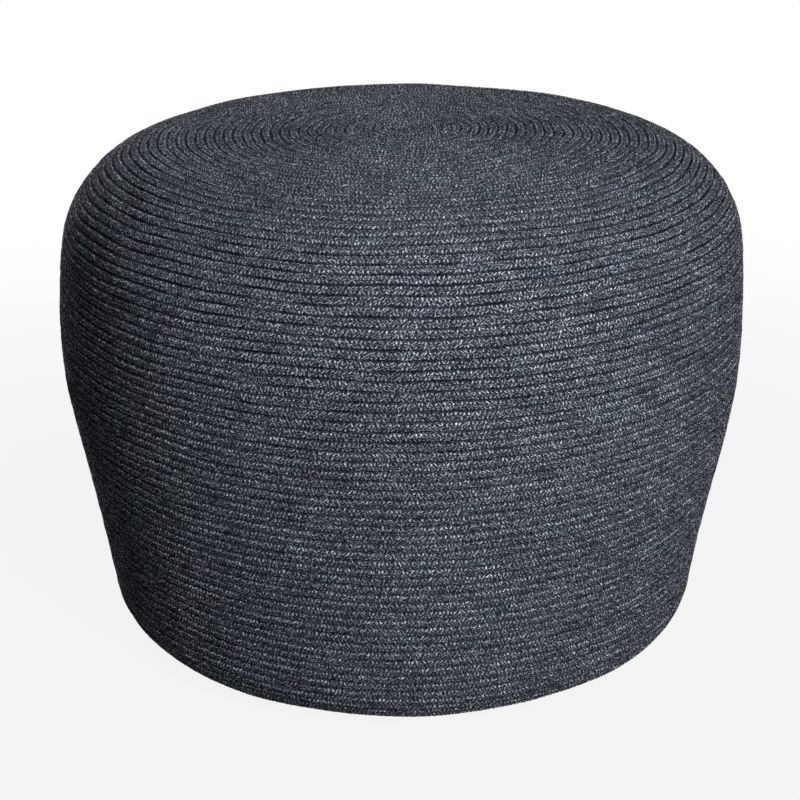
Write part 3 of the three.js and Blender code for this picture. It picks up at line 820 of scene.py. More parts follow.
def cord_band(rings, turns, lengths, slants, heights):
    """Points, stitches along and UV across of one length of cord, and how open the groove beside each is."""
    v, depth_share, uv_across = section_columns().T
    spread, side, ring = np.abs(v), np.sign(v), rings[:, None]
    row = np.clip((spread - ROW_MIDDLE) / ROW_MIDDLE, -1, 1)
    bulge = np.sqrt(1 - row**2)
    slant = np.where(side < 0, -1, 1) * at_rings(slants, rings, side)
    length = (ring / 2 + 2 * SLANT_REACH * slant * row * bulge) * STITCH
    turn = np.interp(length, lengths, turns)
    angle = TURN * turn
    inner = np.clip((turn - 0.5) * CORD_PITCH, 0, OUTLINE_LENGTH)
    outer = np.clip((turn + 0.5) * CORD_PITCH, 0, OUTLINE_LENGTH)
    middle, width = (inner + outer) / 2, outer - inner
    settled = np.clip(middle / SETTLED_RADIUS, 0, 1) ** 2
    edge = np.where(v > 0, outer, inner)
    crest = np.where(ring % 2 == 0, -side, side)
    pinch = PINCH_WIDTH * np.clip(PINCH(angle, edge), 0, 1) * settled + SCALLOP * (1 - crest)
    place = middle + v * (1 - pinch) * width
    place = place + SWAY(angle, place) * settled
    opening = np.clip(0.5 + OPENING(angle, edge), 0, 1)
    near_edge = np.clip(2 * (spread - ROW_MIDDLE) / ROW_MIDDLE - 1, 0, 1) * (depth_share < 1)
    depth = depth_share * CORD_DIAMETER * np.clip(width / CORD_PITCH, THINNEST, 1)
    depth = depth * (1 - CLOSED_SHARE * (1 - opening) * near_edge)
    rise = STITCH_RISE * crest * bulge * at_rings(heights, rings, side)
    depth = depth + (depth_share < 0.5) * (VALLEY * (1 - bulge) * (spread < ROW_MIDDLE) - rise)
    depth = depth - (LUMPS(angle, place) + PROUD(0, length)) * settled
    radius, height = along_outline(np.clip(place, 0, None), depth)
    points = turned(radius, angle, height)
    return points, *np.broadcast_arrays(ring / 2, uv_across), opening


def cord_cover():
    """The cover: one cord, made in lengths that follow each other round the spiral, end to end."""
    material = cord_material()
    turns, lengths = cord_turns()
    last_ring = int((lengths[-1] / STITCH - 1) * 2)
    slants = stitch_slants(last_ring // 2 + 3)
    heights = np.random.default_rng(15).uniform(0.7, 1.3, slants.shape)
    limits = np.linspace(0, last_ring, BAND_COUNT + 1).astype(int)
    for index, (first, last) in enumerate(zip(limits, limits[1:]), 1):
        rings = np.arange(first, last + 1)
        points, along, across, opening = cord_band(rings, turns, lengths, slants, heights)
        shape = points.reshape(-1, 3), tube_faces(*points.shape[:2])
        piece = new_piece(f"cord_cover_{index:02d}", shape, material, replaces=["cord_cover"])
        corners = np.empty(len(piece.data.loops), np.int32)
        piece.data.loops.foreach_get("vertex_index", corners)
        places = np.stack([along.ravel(), across.ravel()], -1)[corners]
        piece.data.uv_layers.new(name="cord").data.foreach_set("uv", places.astype(np.float32).ravel())
        openings = piece.data.attributes.new("opening", "FLOAT", "POINT")
        openings.data.foreach_set("value", opening.astype(np.float32).ravel())


# Materials of the pieces that aren't the cord


def weave(graph, warp, weft, twill=False):
    """Height and random tone of a weave, from places in threads. A twill's warp floats over two of four."""
    column, line = warp.floor(), weft.floor()
    crossing = graph.math("FLOORED_MODULO", column + line, 4.0 if twill else 2.0)
    over = graph.math("LESS_THAN", crossing, 1.5 if twill else 0.5)
    across, along = warp.dome(), weft.dome()
    warp_height = across * along.remap(0.0, 1.0, 0.7, 1.0)
    weft_height = along * across.remap(0.0, 1.0, 0.7, 1.0)
    tones = graph.random(graph.combine(line, 1.5)), graph.random(graph.combine(column, 2.5))
    return graph.mix(over, weft_height, warp_height), graph.mix(over, *tones)


def woven_material(name, dark, light, thread, ring=0.0, twill=False):
    """Cloth of plain or twill weave. With a ring's radius its threads run round Z, else along X and Y."""
    graph = new_material(name)
    if ring:
        warp, weft = graph.polar(round(TURN * ring / thread))
    else:
        warp, weft, _ = graph.separate(graph.place())
        weft = weft * (1 / thread)
    height, tone = weave(graph, warp * (1 / thread), weft, twill)
    fuzz = graph.noise(900.0, detail=3.0)
    colour = graph.mix((tone * 0.55 + fuzz * 0.45).remap(0.25, 0.75), dark, light)
    colour = graph.clouded(colour, graph.noise(14.0, detail=3.0), 0.85, 1.12)
    # painted shade between the threads, where the weave's height falls
    colour = graph.darken(colour, height.remap(0.0, 0.8, 0.45, 1.0))
    normal = graph.bump(height + fuzz * 0.3, 0.25 * thread)
    return graph.surface(colour, fuzz.varied(0.77, 0.85), normal, Specular_IOR_Level=0.2)


MOULDED_GRAIN = 0.08 * MM
SCRATCH_DEPTH = 0.03 * MM


def moulded_material(name, colour, worn_colour, roughness, grain):
    """Plastic or rubber with a fine moulded grain, paler where it is scuffed."""
    graph = new_material(name)
    cells = graph.cells(grain)
    scuffs = graph.noise(120.0, detail=5.0, roughness=0.65)
    worn = (scuffs * 0.7 + graph.noise(18.0) * 0.3).remap(0.5, 0.72)
    colour = graph.mix(worn, colour, worn_colour)
    colour = graph.darken(colour, cells.remap(0.0, 0.6, 0.85, 1.05, smooth=False))
    rough = scuffs.varied(roughness - 0.06, roughness + 0.06) + worn * 0.08
    normal = graph.bump(cells * 0.6 + scuffs * 0.4, MOULDED_GRAIN)
    return graph.surface(colour, rough, normal, Specular_IOR_Level=0.35)


def metal_material(name, colour, dull_colour, roughness):
    """Cast or turned metal, duller in patches and with fine scratches."""
    graph = new_material(name)
    patches = graph.noise(160.0, detail=4.0, roughness=0.6)
    scratches = graph.noise(1.0, detail=3.0, at=graph.stretched((900.0, 900.0, 6000.0)))
    dull = patches.remap(0.42, 0.65)
    rough = scratches.varied(roughness - 0.08, roughness + 0.08) + dull * 0.1
    normal = graph.bump(scratches * 0.4 + patches * 0.6, SCRATCH_DEPTH)
    return graph.surface(graph.mix(dull, colour, dull_colour), rough, normal, Metallic=1.0)


def foam_material(name, pale, pore_shade, cell):
    """Open-celled foam: rounded cells with thin walls and painted shade in their hollows, yellowed in
    patches.
    """
    graph = new_material(name)
    fine = graph.noise(2.2 / cell, detail=3.0)
    wall = (graph.cells(1 / cell) + fine * 0.3).remap(0.25, 0.75)
    # painted shade in the cells' hollows, pale on their walls
    colour = graph.clouded(graph.mix(wall, pore_shade, pale), graph.noise(9.0, detail=3.0), 0.9, 1.05)
    normal = graph.bump(wall, 0.35 * cell)
    return graph.surface(colour, fine.varied(0.85, 0.95), normal, Specular_IOR_Level=0.15)


WADDING_LOFT = 0.9 * MM


def wadding_material():
    """Loose white fibres, pressed in drifts."""
    graph = new_material("wadding")
    swirl = graph.noise(30.0, detail=3.0, output="Color")
    place = graph.node("ShaderNodeVectorMath", {0: graph.place(), 1: swirl}, operation="ADD")[0]
    fibres = graph.noise(1.0, detail=5.0, roughness=0.65, at=graph.stretched((60.0, 420.0, 900.0), place))
    drifts = graph.noise(45.0, detail=4.0)
    colour = graph.mix(fibres.remap(0.35, 0.65), (0.62, 0.61, 0.58), (0.84, 0.83, 0.80))
    # painted shade where the drifts sink
    colour = graph.clouded(colour, drifts, 0.88, 1.0)
    normal = graph.bump(fibres * 0.5 + drifts, WADDING_LOFT)
    return graph.surface(colour, fibres.varied(0.88, 0.98), normal, Specular_IOR_Level=0.1)


RIPSTOP_GRID = 5 * MM
RIPSTOP_ROUNDS = 320  # squares of the grid round Z
RIPSTOP_THREADS = 12.0  # to a square
LINER_CREASES = 0.5 * MM


def liner_material():
    """Coated ripstop cloth: fine plain weave with a grid of stouter threads."""
    graph = new_material("ripstop_liner")
    radius, around_z = graph.polar(RIPSTOP_ROUNDS)
    _, _, height_z = graph.separate(graph.place())
    down = (radius - height_z) * (1 / RIPSTOP_GRID)
    ribs = graph.math("MAXIMUM", down.dome().remap(0.12, 0.0), around_z.dome().remap(0.12, 0.0))
    height, tone = weave(graph, down * RIPSTOP_THREADS, around_z * RIPSTOP_THREADS)
    creases = graph.noise(26.0, detail=5.0, roughness=0.6)
    colour = graph.mix(tone, (0.42, 0.43, 0.43), (0.50, 0.51, 0.51))
    # painted shade in the creases' hollows, a little paler on their ridges
    colour = graph.clouded(graph.mix(ribs, colour, (0.56, 0.57, 0.57)), creases, 0.86, 1.05)
    normal = graph.bump(height * 0.15 + (ribs * 0.3 + creases * 1.6), LINER_CREASES)
    return graph.surface(colour, creases.varied(0.42, 0.58), normal, Specular_IOR_Level=0.4)


THREAD_TWIST = 0.35 * MM
THREAD_BUMP = 0.08 * MM


def thread_material():
    """Twisted sewing thread."""
    graph = new_material("sewing_thread")
    x, y, z = graph.separate(graph.place())
    twist = ((x + (y + z)) * (1 / THREAD_TWIST)).dome()
    fuzz = graph.noise(1500.0)
    # darker between the twists, where the bump dips: painted shade, over fibres of their own random tone
    colour = graph.mix(twist * 0.6 + fuzz * 0.4, (0.03, 0.032, 0.038), (0.13, 0.14, 0.155))
    normal = graph.bump(twist, THREAD_BUMP)
    return graph.surface(colour, fuzz.varied(0.7, 0.85), normal, Specular_IOR_Level=0.25)


# The layers inside the cover

LAYER_SEGMENTS = 144
LAYER_SAMPLES = 90  # of the outline, from the middle of the crown to the fold
GATHER_COUNT = 44
GATHER_HEIGHT = 0.22 * MM
WADDING_DRIFT = 0.5 * MM
SOFT_CELL = 1.1 * MM
FIRM_CELL = 0.8 * MM
STRANDS = 3  # of the draw cord
STRAND_TWISTS = 54  # in the whole ring
STRAND_REACH = (0.86, 0.12)  # of the draw cord's radius: the mean of its section, and what the strands add
DRAW_CORD_THREAD = 0.4 * MM


def layer_outline(depth):
    """Radius and height along the outline at one depth, from the middle to where the layers turn in."""
    return along_outline(np.linspace(0, FOLD_LENGTH, LAYER_SAMPLES), depth).T


def turned_in(rise, edge):
    """Corners of a layer's underside, from its edge round the board's rebate out to the outer zip tape."""
    seat, flat = LINER_SEAT + rise, LINER_FLAT + rise
    step = BOARD_RADIUS + REBATE_PLAY + rise
    return np.array([(edge, seat), (step, seat), (step, flat), (TAPE_OUTER, flat)])


def gathers(angle, radius, height):
    """The liner is drawn together round its mouth: folds that die out towards the board's edge."""
    share = np.clip(1 - (radius - MOUTH_RADIUS) / (BOARD_RADIUS - MOUTH_RADIUS), 0, 1)
    share = share * (height < LINER_SEAT + 2 * LINER_THICKNESS)
    fold = np.sin(GATHER_COUNT * angle + 0.8 * np.sin(5 * angle)) * share
    return radius, height + GATHER_HEIGHT * (1 + fold) * share


DRIFTS = waves(31, 8, (70 * MM, 260 * MM), WADDING_DRIFT, (3, 17))


def drifted(angle, radius, height):
    """The wadding sinks in softly by up to the drift."""
    sunk = np.clip(WADDING_DRIFT / 2 + DRIFTS(angle, radius + height), 0, WADDING_DRIFT)
    return radius - sunk * np.clip(radius / MOUTH_RADIUS - 1, 0, 1), height


def layer(name, profile, material, node, change=None):
    return make(name, lathed(profile, LAYER_SEGMENTS, change), material, replaces=[node])


def make_liner(depth):
    liner = [
        *layer_outline(depth + LINER_THICKNESS),
        *turned_in(LINER_THICKNESS, MOUTH_RADIUS)[::-1],
        *turned_in(0, MOUTH_RADIUS),
        *layer_outline(depth)[::-1],
    ]
    layer("liner_cloth", liner, liner_material(), "liner_bag", gathers)


def make_foam(depth):
    """The pad and the core under it, with a rebate for the board and a recess for the draw cord."""
    foam = layer_outline(depth)
    pad_bottom, core_top = span("comfort_pad")[0], span("foam_core")[1]
    at_pad, at_core = (np.interp(height, foam[::-1, 1], foam[::-1, 0]) for height in (pad_bottom, core_top))
    pad = [*foam[foam[:, 1] > pad_bottom], (at_pad, pad_bottom), (0, pad_bottom)]
    soft = foam_material("soft_foam", (0.78, 0.70, 0.52), (0.52, 0.44, 0.30), SOFT_CELL)
    piece = layer("pad_foam", pad, soft, "comfort_pad")
    recess = LINER_SEAT + 2 * DRAW_CORD_RADIUS + FIT_GAP
    core = [
        (0, core_top),
        (at_core, core_top),
        *foam[foam[:, 1] < core_top],
        *turned_in(LINER_THICKNESS + FIT_GAP, MOUTH_RADIUS)[::-1],
        (MOUTH_RADIUS, recess),
        (0, recess),
    ]
    firm = foam_material("firm_foam", (0.36, 0.42, 0.46), (0.20, 0.25, 0.28), FIRM_CELL)
    piece = layer("core_foam", core, firm, "foam_core")


def make_layers():
    liner_depth = CORD_DIAMETER + FIT_GAP
    wrap_depth = liner_depth + LINER_THICKNESS + FIT_GAP
    foam_depth = wrap_depth + WRAP_THICKNESS + FIT_GAP
    make_liner(liner_depth)
    wadding = [*layer_outline(foam_depth - FIT_GAP), *layer_outline(wrap_depth)[::-1]]
    piece = layer("wadding_layer", wadding, wadding_material(), "wadding_wrap", drifted)
    make_foam(foam_depth)


def make_draw_cord():
    """Strands laid round each other, in a ring."""
    middle_z = sum(span("liner_draw_cord")) / 2
    ring_radius = MOUTH_RADIUS - FIT_GAP - DRAW_CORD_RADIUS
    around_cord = TURN * np.arange(18) / 18
    mean, ridge = STRAND_REACH
    sections = []
    for angle in TURN * np.arange(480) / 480:
        reach = DRAW_CORD_RADIUS * (mean + ridge * np.cos(STRANDS * around_cord + STRAND_TWISTS * angle))
        radius, height = ring_radius + reach * np.cos(around_cord), middle_z + reach * np.sin(around_cord)
        sections.append(turned(radius, angle, height))
    material = woven_material("draw_cord", (0.02, 0.02, 0.024), (0.07, 0.072, 0.08), DRAW_CORD_THREAD)
    make("draw_cord_strands", swept(sections, closed=True), material, replaces=["liner_draw_cord"])


# The underside: base cloth, eyelets and feet

FOOT_PLACES = [on_circle(math.pi / 2 + TURN * i / FOOT_COUNT, FOOT_CIRCLE) for i in range(FOOT_COUNT)]
DRAIN_PLACES = [on_circle(TURN * (i + 0.5) / DRAIN_COUNT, DRAIN_CIRCLE) for i in range(DRAIN_COUNT)]
CLOTH_THREAD = 0.75 * MM
CLOTH_EDGE = 0.25 * MM
METAL_BEND = 0.2 * MM  # round the corners of washers and eyelets
RUBBER_BEND = 0.18 * MM
INSERT_BEND = 0.25 * MM
RIBS = 36  # round a foot's flank
KNURLS = 32  # round an insert's barrel


def make_base_cloth(thread):
    low, high = span("base_cloth")
    eyelet_bore = EYELET_TUBE + FIT_GAP
    holes = [circle(SCREW_BORE, 20, *place.translation[:2]) for place in FOOT_PLACES]
    holes += [circle(eyelet_bore, 32, *place.translation[:2]) for place in DRAIN_PLACES]
    material = woven_material("base_cloth", (0.012, 0.013, 0.015), (0.055, 0.058, 0.064), CLOTH_THREAD)
    shape = plate([circle(CLOTH_RADIUS, 240), *holes], low, high, CLOTH_EDGE)
    cloth = make("base_cloth_panel", shape, material, replaces=["base_cloth"])
    level = low - STITCH_PROUD
    rows = [stitch_row(CLOTH_RADIUS - seam, level, 0, TURN, CLOTH_STITCH) for seam in CLOTH_SEAMS]
    seam = make("base_cloth_stitches", together(rows), thread)


def make_eyelets(zinc):
    low, high = span("drain_eyelet_1")
    rim = EYELET_TUBE + EYELET_RIM
    lip, lip_depth, slope = 0.25 * MM, 0.35 * MM, 0.3 * MM
    profile = [
        (EYELET_BORE, low + lip_depth),
        (EYELET_BORE + lip, low),
        (EYELET_TUBE + EYELET_CREST_SHARE * EYELET_RIM, low),
        (rim, low + slope),
        (rim, low + EYELET_PLATE),
        (EYELET_TUBE, low + EYELET_PLATE),
        (EYELET_TUBE, high - EYELET_PLATE),
        (rim, high - EYELET_PLATE),
        (rim, high),
        (EYELET_BORE, high),
    ]
    ring = lathed(rounded(profile, METAL_BEND), 72)
    make_copies("eyelet_ring", ring, DRAIN_PLACES, zinc, "drain_eyelet")


def foot_shape():
    """A turned rubber foot, with two rings moulded in its sole and ribs round its flank."""
    top = span("foot_1")[1]
    seat = span("foot_washer_1")[1] + FIT_GAP
    recess = WASHER_RADIUS + HEAD_PLAY
    lip, groove, flank, rib = 0.4 * MM, 0.5 * MM, 0.2 * MM, 0.3 * MM
    collar, collar_step, collar_start, rib_end = 2.2 * MM, 0.5 * MM, 2.4 * MM, 2.5 * MM
    sole = np.linspace(recess, SOLE_RADIUS, 6)
    profile = [(recess, lip), (recess + lip, 0)]
    for inner, outer in (sole[1:3], sole[3:5]):
        profile += [(inner, 0), (inner + flank, groove), (outer - flank, groove), (outer, 0)]
    profile += [
        (SOLE_RADIUS - SOLE_EDGE, 0),
        (SOLE_RADIUS, SOLE_EDGE),
        (FOOT_RADIUS - collar_step, top - collar_start),
        (FOOT_RADIUS, top - collar),
        (FOOT_RADIUS, top),
        (SCREW_BORE, top),
        (SCREW_BORE, seat),
        (recess, seat),
    ]

    def ribbed(angle, radius, height):
        share = np.clip((radius - SOLE_RADIUS) / (FOOT_RADIUS - SOLE_RADIUS), 0, 1)
        share = share * (height < top - rib_end)
        return radius - rib * share * (0.5 + 0.5 * np.cos(RIBS * angle)) ** 2, height

    return lathed(rounded(profile, RUBBER_BEND, 2), 216, ribbed)


def screw_shape():
    """A cap screw with a hexagonal socket and a thread."""
    low, high = span("foot_screw_1")
    head, socket = low + HEAD_HEIGHT, low + SOCKET_DEPTH
    drill, lip, chamfer, run_out, tip = 0.5 * MM, 0.3 * MM, 0.2 * MM, 1 * MM, 0.8 * MM
    crown = ((0.6 * MM, 0), (0.15 * MM, 0.2 * MM), (0, 0.7 * MM))  # inside the head's edge, and up
    angle = TURN * np.arange(48) / 48
    hexagon = SOCKET_RADIUS * math.cos(TURN / 12) / np.cos(np.mod(angle, TURN / 6) - TURN / 12)
    rings = [(0, socket + drill), (hexagon, socket), (hexagon, low + lip), (hexagon + lip, low)]
    rings += [(HEAD_RADIUS - inset, low + rise) for inset, rise in crown]
    rings += [(HEAD_RADIUS, head - chamfer), (HEAD_RADIUS - chamfer, head), (SCREW_RADIUS, head)]
    for height in np.arange(head + run_out, high - tip, THREAD_PITCH / 4):
        phase = np.mod((height - head) / THREAD_PITCH - angle / TURN, 1)
        rings.append((SCREW_RADIUS - THREAD_DEPTH * np.abs(2 * phase - 1), height))
    rings += [(SCREW_RADIUS - THREAD_DEPTH - chamfer, high), (0, high)]
    points = np.concatenate([turned(radius, angle, height) for radius, height in rings])
    return points, ring_faces(len(rings), len(angle))


def insert_shape():
    """A threaded insert: a flange on a knurled barrel."""
    low, high = span("threaded_insert_1")
    bore = SCREW_RADIUS + FIT_GAP
    wall, knurl = 0.6 * MM, 0.25 * MM
    profile = [
        (bore, low),
        (BARREL_RADIUS, low),
        (BARREL_RADIUS, high - INSERT_FLANGE),
        (INSERT_FLANGE_RADIUS, high - INSERT_FLANGE),
        (INSERT_FLANGE_RADIUS, high),
        (bore, high),
    ]

    def knurled(angle, radius, height):
        on_barrel = (radius > bore + wall) & (radius <= BARREL_RADIUS)
        return radius - knurl * on_barrel * (np.mod(angle * KNURLS / TURN, 1) < 0.5), height

    return lathed(rounded(profile, INSERT_BEND, 2), 128, knurled)


def make_feet(rubber, steel):
    washer = lathed(box_outline(SCREW_BORE, WASHER_RADIUS, *span("foot_washer_1"), METAL_BEND, 3), 72)
    make_copies("rubber_foot", foot_shape(), FOOT_PLACES, rubber, "foot")
    make_copies("washer_ring", washer, FOOT_PLACES, steel, "foot_washer")
    make_copies("cap_screw", screw_shape(), FOOT_PLACES, steel, "foot_screw")
    make_copies("insert_barrel", insert_shape(), FOOT_PLACES, steel, "threaded_insert")


# The zip

TAPE_THREAD = 0.55 * MM
TOOTH_EDGE = 0.28 * MM
BAND_START, BAND_END = ZIP_END, ZIP_START + TURN  # of the band that has no zip


def make_tapes(thread):
    low, high = span("zip_tape_outer")
    colours = (0.010, 0.011, 0.013), (0.050, 0.053, 0.060)
    material = woven_material("zip_tape", *colours, TAPE_THREAD, ring=ZIP_RADIUS, twill=True)
    gap = FIT_GAP / ZIP_RADIUS
    bands = {
        "zip_tape_outer": ("outer_tape_band", CHAIN_OUTER - TAPE_BITE, TAPE_OUTER, ZIP_START, ZIP_END),
        "zip_tape_inner": ("inner_tape_band", TAPE_INNER, CHAIN_INNER + TAPE_BITE, ZIP_START, ZIP_END),
        "seam_band": ("seam_tape", TAPE_INNER, TAPE_OUTER, BAND_START + gap, BAND_END - gap),
    }
    for node, (name, inner, outer, start, end) in bands.items():
        make(name, strip(inner, outer, low, high, start, end), material, replaces=[node])
    seams = [(seam, ZIP_START, ZIP_START + TURN) for seam in TAPE_SEAMS]
    seams += [(seam, BAND_START + 4 * gap, BAND_END - 4 * gap) for seam in BAND_SEAMS]
    rows = []
    for seam, start, end in seams:
        rows.append(stitch_row(ZIP_RADIUS + seam, low - STITCH_PROUD, start, end, TAPE_STITCH))
    make("tape_stitches", together(rows), thread)


def make_teeth(material):
    """Two rows of moulded teeth, each with its foot on a tape and its head towards the other row."""
    low, high = span("zip_teeth_outer")
    head, waist, foot = (width / 2 for width in TOOTH_WIDTHS)
    near, far = CHAIN_PARTING / 2, CHAIN_PARTING / 2 + CHAIN_HALF_WIDTH
    neck, waist_start, waist_end, foot_start = 0.9 * MM, 1.5 * MM, 0.9 * MM, 0.5 * MM
    half = [
        (near, head),
        (near + neck, head),
        (near + waist_start, waist),
        (far - waist_end, waist),
        (far - foot_start, foot),
        (far, foot),
    ]
    start = TOP_STOP_END + END_PLAY / ZIP_RADIUS
    end = BOTTOM_STOP_START - END_PLAY / ZIP_RADIUS
    count = int((end - start) * ZIP_RADIUS / TOOTH_PITCH)
    for row, side, first in (("outer", 1, 0.25), ("inner", -1, 0.75)):
        outline = mirrored(half, (1, -1)) * (side, 1)
        tooth = plate([outline[::side]], low, high, TOOTH_EDGE)
        angles = [start + (index + first) * TOOTH_PITCH / ZIP_RADIUS for index in range(count)]
        teeth = [moved(tooth, on_circle(angle, ZIP_RADIUS)) for angle in angles]
        make(f"teeth_row_{row}", together(teeth), material, replaces=[f"zip_teeth_{row}"])


def slider_plates(bottom, top):
    """The slider's two plates, with flanges that guide the teeth on both sides."""
    half_width, half_length = SLIDER_WIDTH / 2, SLIDER_LENGTH / 2
    corner, corner_bend, edge = 0.5 * MM, 1.6 * MM, 0.4 * MM
    overhang, flange_bend, flange_edge, sunk = 0.15 * MM, 0.45 * MM, 0.25 * MM, 0.3 * MM
    half = [
        (half_width - corner, half_length),
        (half_width, half_length * 0.2),
        (half_width, -half_length * 0.6),
        (half_width * 0.55, -half_length),
    ]
    outline = rounded(mirrored(half, (-1, 1)), corner_bend, 5)
    shapes = [plate([outline], low, low + SLIDER_PLATE, edge) for low in (bottom, top - SLIDER_PLATE)]
    flange = box_outline(-FLANGE_WIDTH, 0, -half_length * 0.55, half_length * 0.8, flange_bend)
    flange = flange + (half_width - overhang, 0)
    flange_heights = (
        (bottom + sunk, bottom + SLIDER_PLATE + FLANGE_HEIGHT),
        (top - SLIDER_PLATE - FLANGE_HEIGHT, top - sunk),
    )
    for side in (-1, 1):
        outline = (flange * (side, 1))[::side]
        shapes += [plate([outline], *heights, flange_edge) for heights in flange_heights]
    return shapes


def slider_neck(bottom, top):
    margin, bend, edge = 0.2 * MM, 0.25 * MM, 0.1 * MM
    start = -SLIDER_LENGTH / 2
    half = NECK_THICKNESS / 2
    outline = box_outline(-half, half, start + margin, start + NECK_LENGTH, bend)
    return plate([outline], bottom + margin, top - margin, edge)


def bail_shape(low, plate_bottom):
    """A strap that arches under the slider from one end to the other."""
    corner, bend, sunk = 1.5 * MM, 0.35 * MM, 0.6 * MM
    reach = BAIL_LENGTH / 2 - BAIL_POST / 2
    rise = low + BAIL_STRAP / 2
    path = [(reach, plate_bottom + sunk), (reach, rise + corner)]
    for turn in np.linspace(0, math.pi / 2, 6)[1:]:
        path.append((reach - corner + corner * math.cos(turn), rise + corner - corner * math.sin(turn)))
    path = np.array(path + [(-y, z) for y, z in reversed(path)])
    ahead = np.gradient(path, axis=0)
    side = np.stack([-ahead[:, 1], ahead[:, 0]], -1) / np.linalg.norm(ahead, axis=1, keepdims=True)
    x, off = box_outline(-BAIL_WIDTH / 2, BAIL_WIDTH / 2, -BAIL_STRAP / 2, BAIL_STRAP / 2, bend, 2).T
    sections = []
    for (y, z), (side_y, side_z) in zip(path, side):
        sections.append(np.stack([x, y + side_y * off, z + side_z * off], -1))
    return swept(sections)


def make_slider(zinc):
    """The slider's two plates with their flanges, its neck, and the bail that the pull turns on."""
    low, top = span("zip_slider")
    bottom = top - SLIDER_HEIGHT
    shapes = [*slider_plates(bottom, top), slider_neck(bottom, top), bail_shape(low, bottom)]
    place = on_circle(SLIDER_ANGLE, ZIP_RADIUS)
    make("slider_body", moved(together(shapes), place), zinc, body="slider", replaces=["zip_slider"])


def make_pull(zinc):
    """The pull: a crossbar between two arms, and a tab with a grip and a hole. It hangs at its hinge."""
    half, thickness = PULL_WIDTH / 2, PULL_THICKNESS / 2
    window_half = half - PULL_ARM
    corner, window_corner, edge = 2.2 * MM, 0.9 * MM, 0.35 * MM
    bar_inset, bar_half, bar_corner, bar_edge = 1.3 * MM, 0.45 * MM, 0.3 * MM, 0.22 * MM
    outer = box_outline(-half, half, -PULL_BAR / 2, PULL_LENGTH, corner, 6)
    window = box_outline(-window_half, window_half, PULL_BAR / 2, PULL_REACH, window_corner, 3)
    hole = circle(PULL_HOLE_RADIUS, 28, 0, PULL_LENGTH - PULL_HOLE_INSET)
    shapes = [plate([outer, window, hole], -thickness, thickness, edge)]
    bar_end, bar_top = half - bar_inset, thickness + GRIP_RISE
    for share in GRIP_SHARES:
        middle = PULL_REACH + share * (PULL_LENGTH - PULL_HOLE_INSET - PULL_HOLE_RADIUS - PULL_REACH)
        bar = box_outline(-bar_end, bar_end, middle - bar_half, middle + bar_half, bar_corner)
        shapes.append(plate([bar], -bar_top, bar_top, bar_edge))
    place = on_circle(SLIDER_ANGLE, ZIP_RADIUS, HINGE_HEIGHT) @ Matrix.Rotation(-PULL_DROOP, 4, "X")
    make("pull_tab", moved(together(shapes), place), zinc, body="pull", replaces=["zip_pull"])


BOARD_EDGE = 0.5 * MM
STOP_EDGE = 0.25 * MM


def dress(node, material, edge):
    """A CAD node that stays, in a procedural material and with its edges broken."""
    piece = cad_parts[node]
    piece.data.materials.clear()
    piece.data.materials.append(material)
    joiner = piece.modifiers.new("joined", "WELD")
    joiner.merge_threshold = WELD
    bevel = piece.modifiers.new("edges", "BEVEL")
    bevel.width = edge
    bevel.segments = 2
    bevel.limit_method = "ANGLE"
    bevel.angle_limit = SHARP


def make_underside():
    thread = thread_material()
    zinc = metal_material("gunmetal", (0.16, 0.16, 0.17), (0.06, 0.06, 0.065), roughness=0.38)
    steel = metal_material("steel", (0.62, 0.62, 0.63), (0.34, 0.33, 0.32), roughness=0.33)
    rubber = moulded_material("rubber", (0.011, 0.011, 0.012), (0.045, 0.044, 0.043), 0.62, 1400.0)
    board = moulded_material("board", (0.030, 0.031, 0.033), (0.075, 0.076, 0.078), 0.5, 700.0)
    moulding = moulded_material("zip_teeth", (0.018, 0.019, 0.022), (0.06, 0.062, 0.068), 0.42, 1800.0)
    make_base_cloth(thread)
    make_eyelets(zinc)
    make_feet(rubber, steel)
    make_tapes(thread)
    make_teeth(moulding)
    make_slider(zinc)
    make_pull(zinc)
    dress("base_board", board, BOARD_EDGE)
    for node in ("zip_top_stop_outer", "zip_top_stop_inner", "zip_bottom_stop"):
        dress(node, zinc, STOP_EDGE)


# The studio

PHOTO_SIDE = 800  # pixels
FOCAL_PIXELS = 1789
SENSOR = 36 * MM
CAMERA_ELEVATION = 20.5  # degrees
CAMERA_DISTANCE = 5.402 * OVERALL_WIDTH / 2
CAMERA_RANGE = (0.05, 60)
AIM_PIXEL = (402.5, 368.2)  # where the middle of the body shows
CAMERA_ROLL = math.radians(-0.4)
# Each lamp: azimuth from the front and elevation in degrees, distance and side in metres, power in watts
LAMPS = {
    "key": (24, 27, 1.8, 0.7, 34.5),
    "top": (15, 70, 2.4, 1.4, 11),
    "back": (205, 10, 2.8, 1.6, 60),
    "from_below": (20, -85, 2.6, 2.4, 10),
}
FLOOR_SIDE = 24
FLOOR_COLOUR = (0.25, 0.25, 0.25, 1)
FLOOR_GLOW = 0.88  # the share of plain white in what the camera sees of the floor near the object
FLOOR_FADE = (0.4, 1.3)  # from the middle, between which the floor turns plain white
AMBIENT = 0.012


def direction(azimuth, elevation):
    """The way from the object, by degrees from the front and up."""
    turn, rise = math.radians(azimuth), math.radians(elevation)
    return Vector((math.sin(turn) * math.cos(rise), -math.cos(turn) * math.cos(rise), math.sin(rise)))


